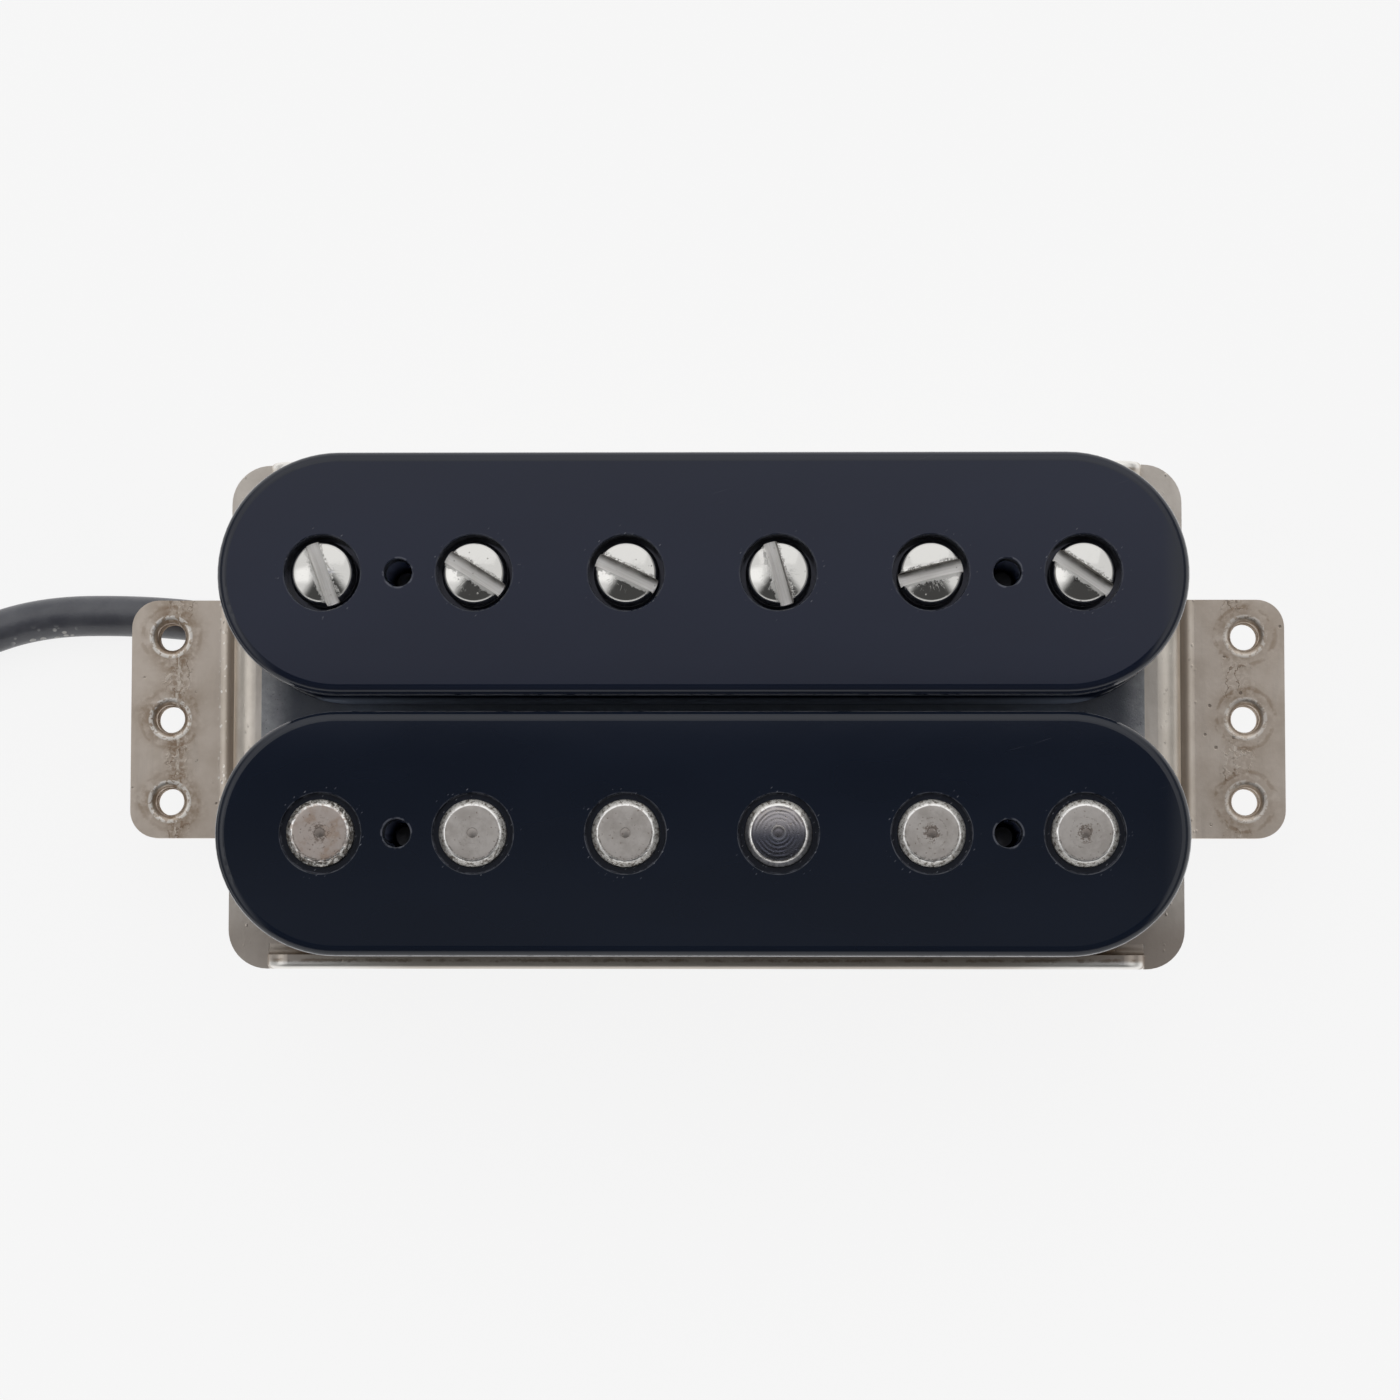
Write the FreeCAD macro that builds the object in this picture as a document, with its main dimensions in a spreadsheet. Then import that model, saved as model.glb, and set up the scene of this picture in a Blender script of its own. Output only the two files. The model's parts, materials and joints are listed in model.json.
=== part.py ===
import FreeCAD, Part
import math
import os
import re
import Sketcher
from FreeCAD import Placement, Rotation, Vector

# Open-coil humbucking guitar pickup with its lead.
# X runs along the rows of poles, +Y is the side of the adjustable screws, +Z faces the strings.
# The tips of the pole screws stand on z = 0, and the middle of the footprint is the origin.

POLE_COUNT = 6

SIZES = [
    ("pole_pitch", 10.4, "distance between neighbouring strings' poles"),
    ("foot_height", 5.2, "underside of the feet above the screw tips"),
    ("leg_drop", 3.3, "step from the plate down to the feet"),
    ("sheet", 1.0, "nickel silver sheet"),
    ("end_margin", 0.9, "plate beyond each end of the bobbins"),
    ("side_margin", 0.85, "flange's outer face beyond the bobbins' sides"),
    ("base_corner", 2.8, "plan radius of the plate's corners"),
    ("corner_flat", 0.1, "straight edge between a plate corner and its flange notch"),
    ("bend_inside", 0.8, "inside radius of the bends at the plate"),
    ("foot_bend", 1.2, "inside radius of the bends at the feet"),
    ("flange_relief", 0.06, "notch at each end of a flange, where it bends"),
    ("flange_brow", 0.35, "rolled-over outer edge along a flange's top"),
    ("flange_gap", 0.7, "flange's upper edge below the bobbins"),
    ("flange_end_round", 1.6, "rounding at the flange's upper ends"),
    ("foot_reach", 7.7, "foot beyond its leg's outer face"),
    ("foot_corner", 2.0, "plan radius of a foot's corners"),
    ("leg_relief", 0.5, "notch on each side of a leg, where it bends"),
    ("leg_hole_edge", 2.85, "height holes from the foot's end"),
    ("leg_hole_pitch", 6.0, "between the holes of one foot"),
    ("leg_hole_margin", 2.65, "outer holes from the foot's sides"),
    ("leg_hole", 2.05, "tapped bore for a height screw"),
    ("collar_wall", 0.525, "drawn collar under a leg hole"),
    ("collar_depth", 1.0, "collar below the foot"),
    ("leg_hole_mouth", 0.45, "rounded mouth of a leg hole"),
    ("magnet_end", 2.85, "plate beyond each end of the bar magnet"),
    ("magnet_height", 3.2, "bar magnet, and so the keeper and the spacer"),
    ("magnet_offset", -0.2, "the bar sits a little to the left"),
    ("magnet_fit", 0.2, "bar magnet from the keeper and from the slugs"),
    ("bar_edge", 0.25, "edge break of the magnet, keeper and spacer"),
    ("keeper_width", 5.0, "steel bar that the pole screws thread through"),
    ("bar_end", 4.0, "keeper and spacer beyond the outer poles"),
    ("spacer_width", 3.0, "wood strip outside the slugs"),
    ("bobbin_end", 7.25, "bobbin beyond its outer poles"),
    ("bobbin_width", 16.7, "flanges"),
    ("bobbin_gap", 1.1, "between the two bobbins"),
    ("bobbin_height", 11.0, "over both flanges"),
    ("top_flange", 1.6, "upper flange of a bobbin"),
    ("low_flange", 1.2, "lower flange of a bobbin"),
    ("core_wall", 0.55, "wall between a screw's counterbore and the winding"),
    ("flange_round", 0.7, "upper edge of the top flange"),
    ("flange_break", 0.25, "other edges of the flanges"),
    ("rim_break", 0.08, "rounded rims of a bobbin's holes"),
    ("tape_recess", 0.55, "tape inside the flange, at its ends"),
    ("tape_wall", 0.3, "tape round a coil"),
    ("head_room", 0.35, "counterbore round a screw head"),
    ("head_drop", 0.9, "counterbore below a screw head at rest"),
    ("slug_ring", 0.45, "shallow ring round a slug"),
    ("slug_ring_depth", 0.5, "shallow ring round a slug"),
    ("screw_head", 4.5, "pole screw head"),
    ("screw_head_height", 1.7, "side of the head"),
    ("screw_taper", 0.17, "head's rim inside its widest radius"),
    ("screw_dome", 0.45, "dome above the head's rim"),
    ("screw_shank", 3.17, "pole screw thread, outside"),
    ("screw_point", 0.35, "chamfer at the screw's tip"),
    ("slot_width", 0.9, "driver slot of a pole screw"),
    ("slot_depth", 1.0, "driver slot below the head's rim"),
    ("screw_fit", 0.05, "pole screw in its keeper thread, on the radius"),
    ("screw_clearance", 0.15, "pole screw in plate and bobbin, on the radius"),
    ("slug_diameter", 4.6, "fixed pole"),
    ("slug_dip", 1.3, "slug below the bobbin, beside the magnet"),
    ("slug_proud", 0.4, "slug above the bobbin"),
    ("slug_chamfer", 0.4, "both ends of a slug"),
    ("slug_fit", 0.03, "slug in its bobbin, on the radius"),
    ("fixing_shank", 1.8, "screw that holds a bobbin from below"),
    ("fixing_grip", 3.8, "fixing screw inside its bobbin"),
    ("fixing_fit", 0.05, "fixing screw in its bobbin, on the radius"),
    ("fixing_clearance", 0.3, "fixing screw in plate and keeper, on the radius"),
    ("fixing_head", 3.6, "fixing screw head"),
    ("fixing_head_height", 1.3, "fixing screw head"),
    ("fixing_slot_width", 0.6, "fixing screw slot"),
    ("fixing_slot_depth", 0.6, "fixing screw slot"),
    ("seat", 0.05, "side gap between pieces that are pushed together"),
    ("cord_diameter", 3.0, "jacketed lead"),
    ("cord_fit", 0.1, "lead in its hole in the plate, on the radius"),
    ("cord_sunk", 0.3, "jacket's end below the plate's upper side"),
    ("cord_drop", 3.4, "lead straight down from its end"),
    ("wire_diameter", 0.8, "insulated conductor"),
    ("drain_diameter", 0.5, "bare shield wire"),
    ("wire_ring", 0.7, "conductors from the middle of the lead"),
    ("wire_rise", 1.3, "conductors above the jacket's end, inside the pickup"),
    ("drain_ring", 0.98, "bare shield wire from the middle of the lead"),
    ("splice_diameter", 1.3, "sleeve over a joint with the coil wire"),
    ("splice_length", 4.0, "sleeve over a joint with the coil wire"),
    ("splice_room", 0.1, "sleeves' far ends from the bars beside them"),
    ("solder_radius", 0.6, "solder drop on the plate"),
    ("solder_height", 0.7, "solder drop on the plate"),
    ("solder_place", 2.7, "solder drop from the middle of the lead"),
    ("tie_wall", 0.3, "strap round the coiled lead"),
    ("tie_fit", 0.15, "strap clear of the turns that it holds"),
    ("tie_width", 3.5, "strap round the coiled lead"),
    ("coil_pitch", 3.5, "from one turn of the coiled lead to the next"),
    ("coil_outer", 20.5, "outermost turn of the coiled lead, at its centre line"),
    ("coil_last", 8.0, "tight quarter turn at the end of the coiled lead"),
]

DERIVED = [
    ("row_length", f"pole_pitch * {POLE_COUNT - 1}"),
    ("row_pitch", "bobbin_width + bobbin_gap"),
    ("bobbin_length", "row_length + bobbin_end * 2"),
    ("base_length", "bobbin_length + end_margin * 2"),
    ("base_width", "row_pitch + bobbin_width + side_margin * 2"),
    ("flange_length", "base_length - (base_corner + corner_flat + flange_relief) * 2"),
    ("legs_length", "base_length + foot_reach * 2"),
    ("leg_width", "(leg_hole_pitch + leg_hole_margin) * 2"),
    ("leg_hole_span", "legs_length - leg_hole_edge * 2"),
    ("leg_collar", "leg_hole + collar_wall * 2"),
    ("bend_outside", "bend_inside + sheet"),
    ("foot_bend_outside", "foot_bend + sheet"),
    ("foot_top", "foot_height + sheet"),
    ("plate_bottom", "foot_height + leg_drop"),
    ("plate_top", "plate_bottom + sheet"),
    ("stack_top", "plate_top + magnet_height"),
    ("bobbin_top", "stack_top + bobbin_height"),
    ("flange_top", "stack_top - flange_gap"),
    ("magnet_length", "base_length - magnet_end * 2"),
    ("magnet_width", "row_pitch - keeper_width / 2 - slug_diameter / 2 - magnet_fit * 2"),
    ("magnet_place", "(slug_diameter - keeper_width) / 4"),
    ("bar_length", "row_length + bar_end * 2"),
    ("head_recess", "screw_head + head_room * 2"),
    ("core_width", "head_recess + core_wall * 2"),
    ("winding_bottom", "stack_top + low_flange"),
    ("winding_height", "bobbin_height - low_flange - top_flange"),
    ("tape_outside", "bobbin_end - tape_recess"),
    ("tape_inner", "tape_outside - tape_wall"),
    ("coil_outside", "tape_inner - seat"),
    ("coil_inner", "core_width / 2 + seat"),
    ("slug_length", "bobbin_height + slug_proud + slug_dip"),
    ("screw_bore", "screw_shank / 2 + screw_clearance"),
    ("fixing_place", "row_length / 2 - pole_pitch / 2"),
    ("fixing_length", "sheet + magnet_height + fixing_grip"),
    ("fixing_bore", "fixing_shank / 2 + fixing_fit"),
    ("fixing_hole", "fixing_shank / 2 + fixing_clearance"),
]

# Direction of each driver slot, turned from +X, from the first screw on the left.
SLOT_TURNS = [-70, -32, -25, -74, 14, -34]

# The lead's way from its hole in the plate to the coil, at its centre line.
LEAD_START = ("-pole_pitch", "-row_pitch / 2", "plate_top - cord_sunk")
LEAD_ROUTE = [
    (-12.4, -7.8, 2.7),
    (-17.0, -5.2, 1.5),
    (-23.4, -1.2, 1.5),
    (-29.4, 3.6, 1.5),
    (-35.2, 7.3, 1.5),
    (-42.0, 8.0, 1.5),
    (-49.6, 7.9, 1.5),
    (-55.6, 5.7, 1.6),
    (-62.0, 4.1, 1.85),
    (-68.6, 3.5, 1.95),
    (-75.0, 3.5, 1.95),
]

# The bared ends of the conductors, sideways, onward and up from the middle of the jacket's end.
WIRE_ENDS = {
    "red": [(0.5, 0.0, -0.5), (0.5, -2.2, -0.5), (1.9, -4.4, -1.2), (4.9, -5.9, -1.55), (8.9, -6.0, -1.55)],
    "white": [(-0.5, 0.0, -0.5), (-0.5, -2.4, -0.5), (0.7, -5.0, -1.2), (3.6, -7.6, -1.55), (7.8, -8.3, -1.55)],
    "green": [(-0.5, 0.0, 0.5), (-0.5, -2.6, 0.5), (-0.4, -5.6, -1.0), (2.2, -8.8, -1.55), (6.6, -10.2, -1.55)],
    "black": [(0.5, 0.0, 0.5), (0.5, -2.0, 0.5), (2.6, -3.3, -0.6), (5.8, -3.9, -1.55), (9.6, -3.4, -1.55)],
}
DRAIN_END = [(0.0, 0.0, 0.98), (0.0, -1.7, 0.98), (1.7, -2.4, 1.7), (4.8, -1.5, -0.4), (8.0, -0.8, -1.7)]

NAMES = {alias for alias, *_ in SIZES} | {alias for alias, _ in DERIVED}
ARC = 0.45

doc = FreeCAD.newDocument("pickup")
sheet = doc.addObject("Spreadsheet::Sheet", "Sizes")


def in_sheet(formula):
    """A formula of size names, written the way the document's expressions name them."""
    return re.sub(r"[a-z][a-z_]+", lambda word: "Sizes." + word[0] if word[0] in NAMES else word[0], formula)


def value(formula):
    """The number that a formula of size names gives."""
    return float(sheet.evalExpression(in_sheet(formula)))


def bind(thing, name, formula):
    thing.setExpression(name, in_sheet(formula))


def fill_sheet():
    for row, (alias, number, note) in enumerate(SIZES, 1):
        sheet.set(f"A{row}", alias)
        sheet.set(f"B{row}", str(number))
        sheet.setAlias(f"B{row}", alias)
        sheet.set(f"C{row}", note)
    for row, (alias, formula) in enumerate(DERIVED, len(SIZES) + 1):
        sheet.set(f"A{row}", alias)
        sheet.set(f"B{row}", "=" + formula)
        sheet.setAlias(f"B{row}", alias)
    doc.recompute()


def new_body(label, x="0", y="0", turn=0):
    body = doc.addObject("PartDesign::Body", label)
    body.Label = label
    body.Placement = Placement(Vector(), Rotation(Vector(0, 0, 1), turn))
    bind(body, "Placement.Base.x", x)
    bind(body, "Placement.Base.y", y)
    return body


def new_sketch(body, name, role="XY_Plane", height="0"):
    sketch = body.newObject("Sketcher::SketchObject", name)
    plane = next(item for item in body.Origin.OriginFeatures if item.Role == role)
    sketch.AttachmentSupport = [(plane, "")]
    sketch.MapMode = "FlatFace"
    bind(sketch, "AttachmentOffset.Base.z", height)
    return sketch


def place_point(sketch, index, end, corner):
    """Fixes one point of a sketch at a pair of formulas, measured from the sketch's origin."""
    for kind, formula, axis in (("DistanceX", corner[0], -2), ("DistanceY", corner[1], -1)):
        if formula == "0":
            sketch.addConstraint(Sketcher.Constraint("PointOnObject", index, end, axis))
            continue
        number = sketch.addConstraint(Sketcher.Constraint(kind, -1, 1, index, end, value(formula)))
        bind(sketch, f"Constraints[{number}]", formula)


def polygon(sketch, corners):
    """A closed outline of straight lines through pairs of formulas."""
    points = [Vector(value(x), value(y), 0) for x, y in corners]
    first = sketch.GeometryCount
    for start, stop in zip(points, points[1:] + points[:1]):
        sketch.addGeometry(Part.LineSegment(start, stop))
    for step, corner in enumerate(corners):
        before = first + (step - 1) % len(corners)
        sketch.addConstraint(Sketcher.Constraint("Coincident", before, 2, first + step, 1))
        place_point(sketch, first + step, 1, corner)


def circle(sketch, x, y, radius):
    index = sketch.addGeometry(Part.Circle(Vector(value(x), value(y), 0), Vector(0, 0, 1), value(radius)))
    place_point(sketch, index, 3, (x, y))
    number = sketch.addConstraint(Sketcher.Constraint("Radius", index, value(radius)))
    bind(sketch, f"Constraints[{number}]", radius)


def slot_outline(sketch, half_span, radius):
    """Two half circles joined by straight sides, along the sketch's X axis."""
    span, round_ = value(half_span), value(radius)
    quarter = math.pi / 2
    up = Vector(0, 0, 1)
    right = Part.Circle(Vector(span, 0, 0), up, round_)
    left = Part.Circle(Vector(-span, 0, 0), up, round_)
    first = sketch.addGeometry(Part.ArcOfCircle(right, -quarter, quarter))
    sketch.addGeometry(Part.LineSegment(Vector(span, round_, 0), Vector(-span, round_, 0)))
    sketch.addGeometry(Part.ArcOfCircle(left, quarter, 3 * quarter))
    sketch.addGeometry(Part.LineSegment(Vector(-span, -round_, 0), Vector(span, -round_, 0)))
    for step in range(4):
        after = first + (step + 1) % 4
        sketch.addConstraint(Sketcher.Constraint("Tangent", first + step, 2, after, 1))
    place_point(sketch, first, 3, (half_span, "0"))
    sketch.addConstraint(Sketcher.Constraint("Symmetric", first, 3, first + 2, 3, -1, 1))
    sketch.addConstraint(Sketcher.Constraint("Equal", first, first + 2))
    number = sketch.addConstraint(Sketcher.Constraint("Radius", first, round_))
    bind(sketch, f"Constraints[{number}]", radius)


def domed_profile(sketch, side, rim, dome):
    """A lathe profile: a polyline up the side to the rim, then an arc up to the axis."""
    points = [Vector(value(x), value(z), 0) for x, z in side + [rim]]
    count = len(points)
    for start, stop in zip(points, points[1:]):
        sketch.addGeometry(Part.LineSegment(start, stop))
    reach, height = points[-1].x, value(dome)
    radius = (reach ** 2 + height ** 2) / (2 * height)
    centre = Vector(0, points[-1].y + height - radius, 0)
    apex = Vector(0, points[-1].y + height, 0)
    start_angle = math.atan2(points[-1].y - centre.y, reach)
    ball = Part.Circle(centre, Vector(0, 0, 1), radius)
    arc = sketch.addGeometry(Part.ArcOfCircle(ball, start_angle, math.pi / 2))
    axis = sketch.addGeometry(Part.LineSegment(apex, points[0]))
    for step, corner in enumerate(side):
        place_point(sketch, step, 1, corner)
        if step:
            sketch.addConstraint(Sketcher.Constraint("Coincident", step - 1, 2, step, 1))
    place_point(sketch, count - 2, 2, rim)
    sketch.addConstraint(Sketcher.Constraint("Coincident", count - 2, 2, arc, 1))
    sketch.addConstraint(Sketcher.Constraint("Coincident", arc, 2, axis, 1))
    sketch.addConstraint(Sketcher.Constraint("Coincident", axis, 2, 0, 1))
    sketch.addConstraint(Sketcher.Constraint("PointOnObject", arc, 3, -2))
    place_point(sketch, arc, 2, ("0", f"{rim[1]} + {dome}"))


def pad(body, sketch, name, length, symmetric=False):
    feature = body.newObject("PartDesign::Pad", name)
    feature.Profile = sketch
    feature.Midplane = symmetric
    bind(feature, "Length", length)
    doc.recompute()
    return feature


def pocket(body, sketch, name, depth=None, symmetric=False, upward=False):
    """A cut from the sketch's plane, right through where no depth is given."""
    before = body.Tip.Shape.Volume
    feature = body.newObject("PartDesign::Pocket", name)
    feature.Profile = sketch
    feature.Midplane = symmetric
    feature.Reversed = upward
    if depth is None:
        feature.Type = "ThroughAll"
    else:
        bind(feature, "Length", depth)
    doc.recompute()
    if feature.Shape.Volume >= before:
        raise ValueError(f"{name} cuts nothing from {body.Label}")
    return feature


def revolve(body, sketch, name):
    feature = body.newObject("PartDesign::Revolution", name)
    feature.Profile = sketch
    feature.ReferenceAxis = (sketch, ["V_Axis"])
    doc.recompute()
    return feature


def fillet(body, name, radius, chosen, kind="Fillet"):
    """Rounds, or chamfers, the edges of the body so far that a test chooses."""
    base = body.Tip
    edges = [f"Edge{number}" for number, edge in enumerate(base.Shape.Edges, 1) if chosen(edge)]
    feature = body.newObject("PartDesign::" + kind, name)
    feature.Base = (base, edges)
    bind(feature, "Radius" if kind == "Fillet" else "Size", radius)
    doc.recompute()
    return feature


def repeat_along_row(body, features, name):
    pattern = body.newObject("PartDesign::LinearPattern", name)
    pattern.Originals = features
    pattern.Direction = (features[0].Profile[0], ["H_Axis"])
    bind(pattern, "Length", "row_length")
    pattern.Occurrences = POLE_COUNT
    body.Tip = pattern
    doc.recompute()
    return pattern


def near(one, other):
    return abs(one - other) < value("seat") / 10


def lies_at(edge, axis, place):
    """Whether a whole edge lies in the plane where one coordinate has a place."""
    box = edge.BoundBox
    return near(getattr(box, axis + "Min"), place) and near(getattr(box, axis + "Max"), place)


def corners(half_x, half_y):
    return [(f"-({half_x})", f"-({half_y})"), (half_x, f"-({half_y})"), (half_x, half_y), (f"-({half_x})", half_y)]


def make_baseplate():
    """One sheet: a flat floor, two upturned flanges and two legs that step down to drilled feet."""
    body = new_body("baseplate")
    outline = new_sketch(body, "floor_outline", height="plate_bottom")
    tab, ledge = "flange_length / 2 + flange_relief", "base_width / 2 - bend_outside"
    leg = "leg_width / 2 + leg_relief"
    end, side, notch = "base_length / 2", "base_width / 2", "base_length / 2 - bend_outside"
    quarter = [(end, leg), (end, side), (tab, side), (tab, ledge)]
    around = [(notch, f"-({leg})"), (notch, leg)] + quarter
    around += [(f"-({x})", y) for x, y in reversed([(notch, leg)] + quarter)]
    around += [(f"-({x})", f"-({y})") for x, y in [(notch, leg)] + quarter]
    around += [(x, f"-({y})") for x, y in reversed(quarter)]
    polygon(outline, around)
    pad(body, outline, "floor", "sheet")
    flange = new_sketch(body, "flange_section", "YZ_Plane")
    wall, top = f"{side} - sheet", "flange_top"
    for sign in ("", "-"):
        section = [(ledge, "plate_bottom"), (side, "plate_bottom"), (side, top), (wall, top)]
        section += [(wall, "plate_top"), (ledge, "plate_top")]
        polygon(flange, [(f"{sign}({y})", z) for y, z in section])
    pad(body, flange, "flanges", "flange_length", symmetric=True)
    step = new_sketch(body, "leg_section", "XZ_Plane")
    for sign in ("", "-"):
        section = [(notch, "plate_top"), (end, "plate_top"), (end, "foot_top")]
        section += [("legs_length / 2", "foot_top"), ("legs_length / 2", "foot_height")]
        section += [(f"{end} - sheet", "foot_height"), (f"{end} - sheet", "plate_bottom")]
        section += [(notch, "plate_bottom")]
        polygon(step, [(f"{sign}({x})", z) for x, z in section])
    pad(body, step, "legs", "leg_width", symmetric=True)
    half_width, half_length = value("base_width / 2"), value("base_length / 2")
    bends = [("x", half_length, "plate_top", "bend_outside"), ("x", half_length, "foot_top", "foot_bend")]
    bends += [("x", half_length - value("sheet"), "foot_height", "foot_bend_outside")]
    bends += [("x", half_length - value("sheet"), "plate_bottom", "bend_inside")]
    bends += [("y", half_width, "plate_bottom", "bend_outside")]
    bends += [("y", half_width - value("sheet"), "plate_top", "bend_inside")]
    longest = {"x": value("leg_width"), "y": value("flange_length")}
    for number, (axis, place, height, radius) in enumerate(bends, 1):
        plane = axis.upper()
        fillet(body, f"bend_{number}", radius, lambda edge: (
            lies_at(edge, "Z", value(height))
            and (lies_at(edge, plane, place) or lies_at(edge, plane, -place))
            and near(edge.Length, longest[axis])
        ))
    fillet(body, "plate_corners", "base_corner", lambda edge: (
        near(edge.BoundBox.ZLength, value("sheet"))
        and near(abs(edge.BoundBox.Center.x), half_length)
        and near(abs(edge.BoundBox.Center.y), half_width)
    ))
    fillet(body, "foot_corners", "foot_corner", lambda edge: (
        near(edge.BoundBox.ZLength, value("sheet"))
        and near(abs(edge.BoundBox.Center.x), value("legs_length / 2"))
    ))
    fillet(body, "flange_ends", "flange_end_round", lambda edge: (
        lies_at(edge, "Z", value(top)) and near(edge.BoundBox.YLength, value("sheet"))
        and near(edge.BoundBox.XLength, 0)
    ))
    fillet(body, "flange_brows", "flange_brow", lambda edge: (
        lies_at(edge, "Z", value(top)) and near(edge.BoundBox.YLength, 0)
        and near(abs(edge.BoundBox.Center.y), half_width)
    ))
    collar = new_sketch(body, "collar_rings", height="foot_height")
    bores = new_sketch(body, "leg_bores", height="foot_top")
    for side_sign in ("", "-"):
        for place in ("-leg_hole_pitch", "0", "leg_hole_pitch"):
            where = (f"{side_sign}leg_hole_span / 2", place)
            circle(collar, *where, "leg_collar / 2")
            circle(bores, *where, "leg_hole / 2")
    collars = body.newObject("PartDesign::Pad", "collars")
    collars.Profile = collar
    collars.Reversed = True
    bind(collars, "Length", "collar_depth")
    doc.recompute()
    pocket(body, bores, "leg_holes")
    fillet(body, "leg_hole_mouths", "leg_hole_mouth", lambda edge: (
        lies_at(edge, "Z", value("foot_top")) and near(edge.BoundBox.XLength, value("leg_hole"))
    ))
    holes = new_sketch(body, "plate_holes", height="plate_top")
    for number in range(POLE_COUNT):
        circle(holes, f"pole_pitch * {number} - row_length / 2", "row_pitch / 2", "screw_bore")
    for x in ("-fixing_place", "fixing_place"):
        for y in ("-row_pitch / 2", "row_pitch / 2"):
            circle(holes, x, y, "fixing_hole")
    circle(holes, *LEAD_START[:2], "cord_diameter / 2 + cord_fit")
    pocket(body, holes, "floor_holes")


def make_bar(label, length, width, x="0", y="0"):
    """A straight bar on the plate, as high as the magnet, with its long edges broken."""
    body = new_body(label, x, y)
    outline = new_sketch(body, label + "_outline", height="plate_top")
    polygon(outline, corners(f"{length} / 2", f"{width} / 2"))
    pad(body, outline, label + "_block", "magnet_height")
    fillet(body, label + "_edges", "bar_edge", lambda edge: near(edge.Length, value(length)), "Chamfer")
    return body


def make_bars():
    make_bar("magnet_bar", "magnet_length", "magnet_width", "magnet_offset", "magnet_place")
    keeper = make_bar("keeper_bar", "bar_length", "keeper_width", y="row_pitch / 2")
    tapped = new_sketch(keeper, "tapped_hole", height="stack_top")
    circle(tapped, "-row_length / 2", "0", "screw_shank / 2 + screw_fit")
    repeat_along_row(keeper, [pocket(keeper, tapped, "tapped_bore")], "tapped_row")
    passing = new_sketch(keeper, "passing_holes", height="stack_top")
    for x in ("-fixing_place", "fixing_place"):
        circle(passing, x, "0", "fixing_hole")
    pocket(keeper, passing, "passing_bores")
    beside = "row_pitch / 2 + slug_diameter / 2 + seat + spacer_width / 2"
    make_bar("spacer_strip", "bar_length", "spacer_width", y=f"-({beside})")


def make_bobbin(label, y):
    """Two flanges with full-round ends on a core, bored along its row of poles."""
    body = new_body(label, y=y)
    span, radius = "bobbin_length / 2 - bobbin_width / 2", "bobbin_width / 2"
    low = new_sketch(body, label + "_low_outline", height="stack_top")
    slot_outline(low, span, radius)
    pad(body, low, label + "_low_flange", "low_flange")
    core = new_sketch(body, label + "_core_outline", height="stack_top")
    slot_outline(core, "row_length / 2", "core_width / 2")
    pad(body, core, label + "_core", "bobbin_height")
    high = new_sketch(body, label + "_top_outline", height="bobbin_top - top_flange")
    slot_outline(high, span, radius)
    pad(body, high, label + "_top_flange", "top_flange")
    half = value("bobbin_width / 2")

    def on_rim(edge, *heights):
        level = any(lies_at(edge, "Z", value(height)) for height in heights)
        return level and max(abs(edge.BoundBox.YMin), abs(edge.BoundBox.YMax)) > half - value("seat")

    fillet(body, label + "_top_edge", "flange_round", lambda edge: on_rim(edge, "bobbin_top"))
    others = ("stack_top", "winding_bottom", "bobbin_top - top_flange")
    fillet(body, label + "_other_edges", "flange_break", lambda edge: on_rim(edge, *others))
    fixing = new_sketch(body, label + "_fixing_holes", height="bobbin_top")
    for x in ("-fixing_place", "fixing_place"):
        circle(fixing, x, "0", "fixing_bore")
    pocket(body, fixing, label + "_fixing_bores")
    return body


def make_bobbins():
    for label, y, bore, recess, depth in (
        ("screw_bobbin", "row_pitch / 2", "screw_bore", "head_recess / 2", "screw_head_height + head_drop"),
        ("slug_bobbin", "-row_pitch / 2", "slug_diameter / 2 + slug_fit", "slug_diameter / 2 + slug_ring",
         "slug_ring_depth"),
    ):
        body = make_bobbin(label, y)
        through = new_sketch(body, label + "_bore_circle", height="bobbin_top")
        circle(through, "-row_length / 2", "0", bore)
        bores = pocket(body, through, label + "_bore")
        wide = new_sketch(body, label + "_recess_circle", height="bobbin_top")
        circle(wide, "-row_length / 2", "0", recess)
        recesses = pocket(body, wide, label + "_recess", depth)
        repeat_along_row(body, [bores, recesses], label + "_row")
        rims = [value(recess) * 2, value("fixing_bore") * 2]
        fillet(body, label + "_rims", "rim_break", lambda edge: (
            lies_at(edge, "Z", value("bobbin_top")) and any(near(edge.BoundBox.XLength, rim) for rim in rims)
        ))


def make_ring(label, y, inner, outer):
    """A ring with straight sides and round ends that fills the height between a bobbin's flanges."""
    body = new_body(label, y=y)
    outside = new_sketch(body, label + "_outside", height="winding_bottom")
    slot_outline(outside, "row_length / 2", outer)
    pad(body, outside, label + "_block", "winding_height")
    inside = new_sketch(body, label + "_inside", height="winding_bottom + winding_height")
    slot_outline(inside, "row_length / 2", inner)
    pocket(body, inside, label + "_core_space")


def make_windings():
    for side, y in (("screw", "row_pitch / 2"), ("slug", "-row_pitch / 2")):
        make_ring(f"{side}_coil", y, "coil_inner", "coil_outside")
        make_ring(f"{side}_coil_tape", y, "tape_inner", "tape_outside")


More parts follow.
